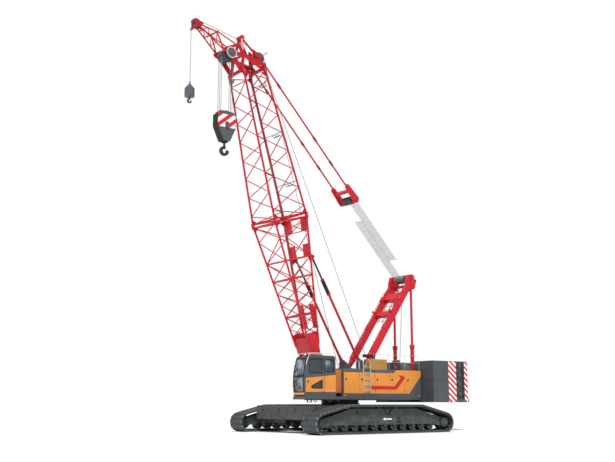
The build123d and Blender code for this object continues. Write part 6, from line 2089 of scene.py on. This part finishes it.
@dataclass
class Head:
    """The boom head's sheave rim and cap, guards and pins."""

    axle: tuple[float, float] = (17.82, 1.08)
    apex: tuple[float, float] = (18.72, -0.06)
    side_radius: float = 0.3
    outer_y: float = 0.52

    def build(self) -> None:
        """Dresses the head."""
        fit(self.rim(), "side_sheave_rim", LIGHT_METAL, Body.BOOM)
        fit(self.hub(), "side_sheave_hub", RED, Body.BOOM)
        fit(self.guards(), "head_guards", RED, Body.BOOM)
        fit(self.pins(), "head_pins", SHEAVE, Body.BOOM)

    def side_y(self) -> float:
        """The outer face of the sheave that sits beside the left plate."""
        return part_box("head_sheaves")[1].y

    def rim(self) -> Solid:
        """The bright rim of the sheave beside the head."""
        r = self.side_radius
        rim = [(r - 0.005, -0.006), (r - 0.005, 0.004), (r - 0.03, 0.012),
               (r - 0.055, 0.004), (r - 0.055, -0.006)]
        return LINE.ring(*self.axle, self.side_y(), rim, 40)

    def hub(self) -> Pieces:
        """The red cap of the axle with its bolts."""
        cap = [(0.0, -0.01), (0.08, -0.01), (0.08, 0.02), (0.068, 0.035), (0.0, 0.035)]
        yield LINE.ring(*self.axle, self.side_y(), cap)
        yield bolt_ring(LINE.at(*self.axle, self.side_y() + 0.035), Axis.Y, 0.048, 6, 0.01, 0.01)

    def guards(self) -> Pieces:
        """Rope guard bars round the head sheaves with their arms, and bosses at the apex."""
        s, n = self.axle
        for turn in (-0.5, 0.4, 1.3, 3.6):
            ds, dn = 0.37 * math.cos(turn), 0.37 * math.sin(turn)
            bar, root = (s + ds, n + dn), (s + ds * 0.25, n + dn * 0.25)
            yield rod(LINE.at(*bar, -self.outer_y), LINE.at(*bar, self.outer_y), 0.014, 8)
            for y in (0.01 - self.outer_y, self.outer_y - 0.01):
                yield rod(LINE.at(*bar, y), LINE.at(*root, y), 0.02, 6)
        for side in SIDES:
            yield LINE.ring(*self.apex, side * 0.17, sleeve(0.0, 0.13, 0.0, side * 0.03))

    def pins(self) -> Pieces:
        """Pin heads at the pendants and the guide sheaves."""
        for side in SIDES:
            for place, y, radius in ((LINE.pendant_pin, 0.6, 0.075), (LINE.guide, 0.245, 0.06)):
                yield LINE.ring(*place, side * y, pin_head(radius, side * 0.02, radius * 0.8, side * 0.03))


@dataclass
class Suspension:
    """Couplers on the pendant bars, the bridle's bosses, and the backstops' sleeves and collars."""

    bar_y: float = 0.5455
    couplers: tuple[float, ...] = (0.17, 0.6, 0.8)
    bridle_pin: float = 7.9
    bridle_axle: float = 8.73
    stop_foot: tuple[float, float] = (-0.66, 3.62)
    stop_end: tuple[float, float] = (2.397, 8.865)
    stop_y: float = 0.7
    sleeve: tuple[float, float] = (3.95, 4.74)
    bands: tuple[tuple[float, float, float], ...] = ((3.86, 3.96, 0.106), (4.7, 4.77, 0.108),
                                                     (0.32, 0.38, 0.082), (2.0, 2.05, 0.074))

    def build(self) -> None:
        """Dresses the suspension and the backstops."""
        fit(self.coupler_plates(), "pendant_couplers", DEEP_RED, Body.PENDANTS)
        fit(self.coupler_pins(), "pendant_coupler_pins", SHEAVE, Body.PENDANTS)
        fit(self.bridle(), "bridle_plates", RED, Body.PENDANTS)
        fit(self.sleeves(), "backstop_buffers", BLACK, Body.TUBES)
        fit(self.collars(), "backstop_collars", RED, Body.TUBES)

    def along(self, run: float, out: float = 0.0, y: float = 0.0) -> Vector:
        """A place beside the line from the pendant pin to the gantry's head.

        Args:
            run: the distance from the pendant pin.
            out: the distance square to the line, forward and up.
            y: the place across.

        Returns:
            The place.
        """
        start = LINE.at(*LINE.pendant_pin)
        way = (Vector((GANTRY_HEAD[0], 0, GANTRY_HEAD[1])) - start).normalized()
        return start + way * run + Vector((way.z, 0, -way.x)) * out + Vector((0, y, 0))

    def coupler_plates(self) -> Pieces:
        """Two plates either side of each bar at every coupler."""
        upper = [(-0.17, 0.03), (-0.1, 0.052), (0.1, 0.052), (0.17, 0.03)]
        corners = upper + [(ds, -dn) for ds, dn in reversed(upper)]
        for y in (-self.bar_y - 0.0025, self.bar_y + 0.0025):
            for share in self.couplers:
                outline = flat(self.along(self.bridle_pin * share + ds, dn) for ds, dn in corners)
                for shift in (-0.032, 0.032):
                    yield plate(outline, Axis.Y, y + shift - 0.008, y + shift + 0.008)

    def coupler_pins(self) -> Pieces:
        """The two pins of each coupler."""
        for y in (-self.bar_y, self.bar_y):
            for share in self.couplers:
                for shift in (-0.1, 0.1):
                    run = self.bridle_pin * share + shift
                    yield rod(self.along(run, 0, y - 0.052), self.along(run, 0, y + 0.052), 0.024, 12)

    def bridle(self) -> Pieces:
        """Round bosses on the bridle's cheeks, and two guard bars over its sheaves."""
        for side in SIDES:
            for run, radius in ((self.bridle_pin, 0.11), (self.bridle_axle, 0.14)):
                boss = pin_head(radius, side * 0.02, radius * 0.7, side * 0.04)
                yield lathe(boss, self.along(run, 0, side * 0.63), Axis.Y, 24)
        run = self.bridle_axle + 0.05
        for out in (-0.26, 0.26):
            yield rod(self.along(run, out, -0.6), self.along(run, out, 0.6), 0.016, 8)

    def stop(self, run: float, side: int) -> Vector:
        """A place along a backstop by its run from the lower pin.

        Args:
            run: the distance from the lower pin.
            side: the sign of the crane's side.

        Returns:
            The place.
        """
        foot = Vector((self.stop_foot[0], side * self.stop_y, self.stop_foot[1]))
        end = Vector((self.stop_end[0], side * self.stop_y, self.stop_end[1]))
        return foot + (end - foot).normalized() * run

    def sleeves(self) -> Pieces:
        """The dark buffer sleeve at each tube's upper end."""
        for side in SIDES:
            yield rod(*(self.stop(run, side) for run in self.sleeve), 0.099, 24)

    def collars(self) -> Pieces:
        """Collars above and below the sleeves, and bands at the tubes' feet and middle."""
        for side in SIDES:
            for low, high, radius in self.bands:
                yield rod(self.stop(low, side), self.stop(high, side), radius, 24)


# ---- hooks and rope

@dataclass
class MainBlock:
    """The main block's striped plates, sheave rims, bolts and the hook's latch."""

    half: float = 0.53
    cap_z: float = 15.68
    shoulder_z: float = 15.06
    foot_z: float = 14.33
    foot_half: float = 0.19
    face_y: float = 0.25
    bolt_places: tuple[tuple[float, float], ...] = ((0.47, 15.62), (0.47, 15.15), (0.22, 14.5))

    def middle(self) -> float:
        """The X of the block's middle plane."""
        low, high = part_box("hook_block")
        return (low.x + high.x) / 2

    def build(self) -> None:
        """Dresses the main block and hook."""
        fit(self.boards(), "block_stripe_plates", BLOCK_STRIPES, Body.BLOCK)
        fit(self.edges(), "block_edge_plates", BLACK, Body.BLOCK)
        fit(self.hubs(), "block_hubs", SHEAVE, Body.BLOCK)
        fit(self.bolts(), "block_bolts", CAST_IRON, Body.BLOCK)
        fit(latch(self.middle(), "main_hook"), "main_hook_latch", LIGHT_METAL, Body.HOOK)

    def boards(self) -> Pieces:
        """Striped plates on both cheeks' upper halves."""
        half, shoulder = self.half, self.shoulder_z
        front = [(half, self.cap_z), (half, shoulder + 0.02), (half - 0.06, shoulder - 0.06)]
        outline = [(self.middle() + dx, z) for dx, z in front + [(-dx, z) for dx, z in reversed(front)]]
        for side in SIDES:
            yield plate(outline, Axis.Y, side * (self.face_y - 0.002), side * (self.face_y + 0.012), 0.004)

    def edges(self) -> Pieces:
        """Dark plates round the block's two ends, from the cap down to the foot."""
        outer = [(self.half, self.cap_z), (self.half, self.shoulder_z), (self.foot_half, self.foot_z)]
        band = [(dx + 0.006, z) for dx, z in outer] + [(dx - 0.004, z) for dx, z in reversed(outer)]
        for side in SIDES:
            outline = [(self.middle() + side * dx, z) for dx, z in band]
            yield plate(outline, Axis.Y, 0.004 - self.face_y, self.face_y - 0.004)

    def hubs(self) -> Pieces:
        """The axle's big nuts and the rims of the block's sheaves above the cap."""
        x = self.middle()
        for side in SIDES:
            nut = pin_head(0.13, side * 0.02, 0.095, side * 0.03)
            yield lathe(nut, (x, side * (self.face_y + 0.01), self.shoulder_z + 0.12), Axis.Y, 28)
        rim = [(0.22, -0.02), (0.25, -0.028), (0.25, -0.012), (0.235, 0.0),
               (0.25, 0.012), (0.25, 0.028), (0.22, 0.02)]
        for i in range(-2, 3):
            yield lathe(rim, (x, i * 0.075, self.cap_z - 0.02), Axis.Y, 32)

    def bolts(self) -> Pieces:
        """Bolts along the cheeks' edges and the swivel's nut."""
        x = self.middle()
        for y, outer in ((-self.face_y, -self.face_y - 0.032), (self.face_y, self.face_y + 0.032)):
            for dx, z in self.bolt_places:
                for at in (x - dx, x + dx):
                    yield rod((at, y, z), (at, outer, z), 0.022, 6)
        yield lathe(sleeve(0.0, 0.17, -0.03, 0.03), (x, 0, 14.3), Axis.Z, 8)


def latch(x: float, hook: str) -> Solid:
    """The spring latch that closes a hook's throat.

    Args:
        x: the hook's middle.
        hook: the hook's node.

    Returns:
        The latch with its hinge pin.
    """
    low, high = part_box(hook)
    size = high.z - low.z
    hinge_x, hinge_z = x - 0.02 * size, low.z + 0.69 * size
    blade = rod((hinge_x, 0, hinge_z), (x - 0.29 * size, 0, low.z + 0.43 * size), 0.02 * size, 8)
    hinge = rod((hinge_x, -0.07 * size, hinge_z), (hinge_x, 0.07 * size, hinge_z), 0.024 * size, 8)
    return weld([blade, hinge])


@dataclass
class AuxBlock:
    """The round weight's bands, its rope socket and its hook's latch."""

    shoulder: float = 0.65      # where the weight's round part ends, as a share of its height

    def build(self) -> None:
        """Dresses the auxiliary block."""
        low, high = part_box("aux_weight")
        x, radius = (low.x + high.x) / 2, (high.x - low.x) / 2
        shoulder_z = low.z + (high.z - low.z) * self.shoulder
        band = sleeve(radius - 0.012, radius - 0.001, 0.0, 0.03)
        bands = [lathe(band, (x, 0, z), Axis.Z, 36) for z in (low.z + 0.03, shoulder_z - 0.05)]
        fit(bands, "aux_weight_bands", CAST_IRON, Body.AUX)
        cone = [(0.0, 0.0), (0.045, 0.0), (0.03, 0.16), (0.0, 0.17)]
        socket = lathe(cone, (x, 0, high.z - 0.01), Axis.Z, 20)
        nut = lathe(sleeve(0.0, 0.075, -0.02, 0.03), (x, 0, low.z - 0.005), Axis.Z, 6)
        fit([socket, nut], "aux_rope_socket", SHEAVE, Body.AUX)
        fit(latch(x, "aux_hook"), "aux_hook_latch", LIGHT_METAL, Body.AUX_HOOK)


@dataclass
class Rigging:
    """The running ropes between the head, the winches and the gantry."""

    radius: float = 0.014
    bend: float = 0.3           # the share of a hoist line, from the drum, where its rings are closer
    main_drum: tuple[float, float] = (-2.62, 2.2)
    aux_drum: tuple[float, float] = (-0.06, 2.26)

    def build(self) -> None:
        """Strings the ropes."""
        self.string_hoist_line("main_hoist_line", -0.11, self.main_drum)
        self.string_hoist_line("aux_hoist_line", 0.11, self.aux_drum)
        middle = sum(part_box("tip_sheave"), Vector()) / 2
        guide_s, guide_n = LINE.guide
        tip, apex = Vector((middle.x - 0.17, 0, middle.z + 0.22)), LINE.at(18.66, 0.1)
        guide = LINE.at(guide_s + 0.27, guide_n - 0.12)
        jib_line = [rod(tip, apex, self.radius), rod(apex, guide, self.radius)]
        fit(jib_line, "aux_line_over_jib", HOIST_ROPE, Body.BOOM)
        gantry_line = rod((-4.715, -0.2, 8.28), (-4.28, -0.2, 2.3), self.radius)
        fit(gantry_line, "gantry_line", HOIST_ROPE, Body.UPPER)

    def string_hoist_line(self, name: str, y: float, drum: tuple[float, float]) -> None:
        """Strings a hoist line from its drum to the head.

        Args:
            name: the line's name.
            y: its place across.
            drum: the X and Z where it leaves the drum.
        """
        foot, top = Vector((drum[0], y, drum[1])), LINE.at(*LINE.guide, y) + Vector((-0.28, 0, 0.12))
        line = self.ringed(foot, top)
        line.name = name
        line.data.materials.append(HOIST_ROPE.material())
        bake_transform(line)
        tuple(foot)

    def ringed(self, start: Vector, end: Vector) -> Solid:
        """A taut rope with closer rings near the drum.

        Args:
            start: its place on the drum.
            end: its place at the head.

        Returns:
            The rope.
        """
        near = [self.bend * i / 16 for i in range(16)]
        far = [self.bend + (1 - self.bend) * i / 6 for i in range(7)]
        places = [start + (end - start) * share for share in near + far]
        obj = weld(rod(first, last, self.radius, 8) for first, last in zip(places, places[1:]))
        edit_all()
        bpy.ops.mesh.remove_doubles(threshold=0.0005)
        bpy.ops.object.mode_set(mode="OBJECT")
        return obj


ASSEMBLIES: tuple = (Tracks(), TrackFrame(1), TrackFrame(-1), Carbody(), House(1), House(-1), LadderHead(),
                     Deck(), Counterweight(), Gantry(), Cab(), Seat(), Boom(), Head(), Suspension(),
                     MainBlock(), AuxBlock(), Rigging())


# ---- the whole crane

def main() -> None:
    """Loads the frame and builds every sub-assembly in order."""
    logging.basicConfig(level=logging.INFO, format="%(name)s %(message)s")
    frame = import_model()
    Studio().build()
    Paintwork(frame["record"], frame["nodes"]).build()
    for assembly in ASSEMBLIES:
        assembly.build()


if __name__ == "__main__":
    main()
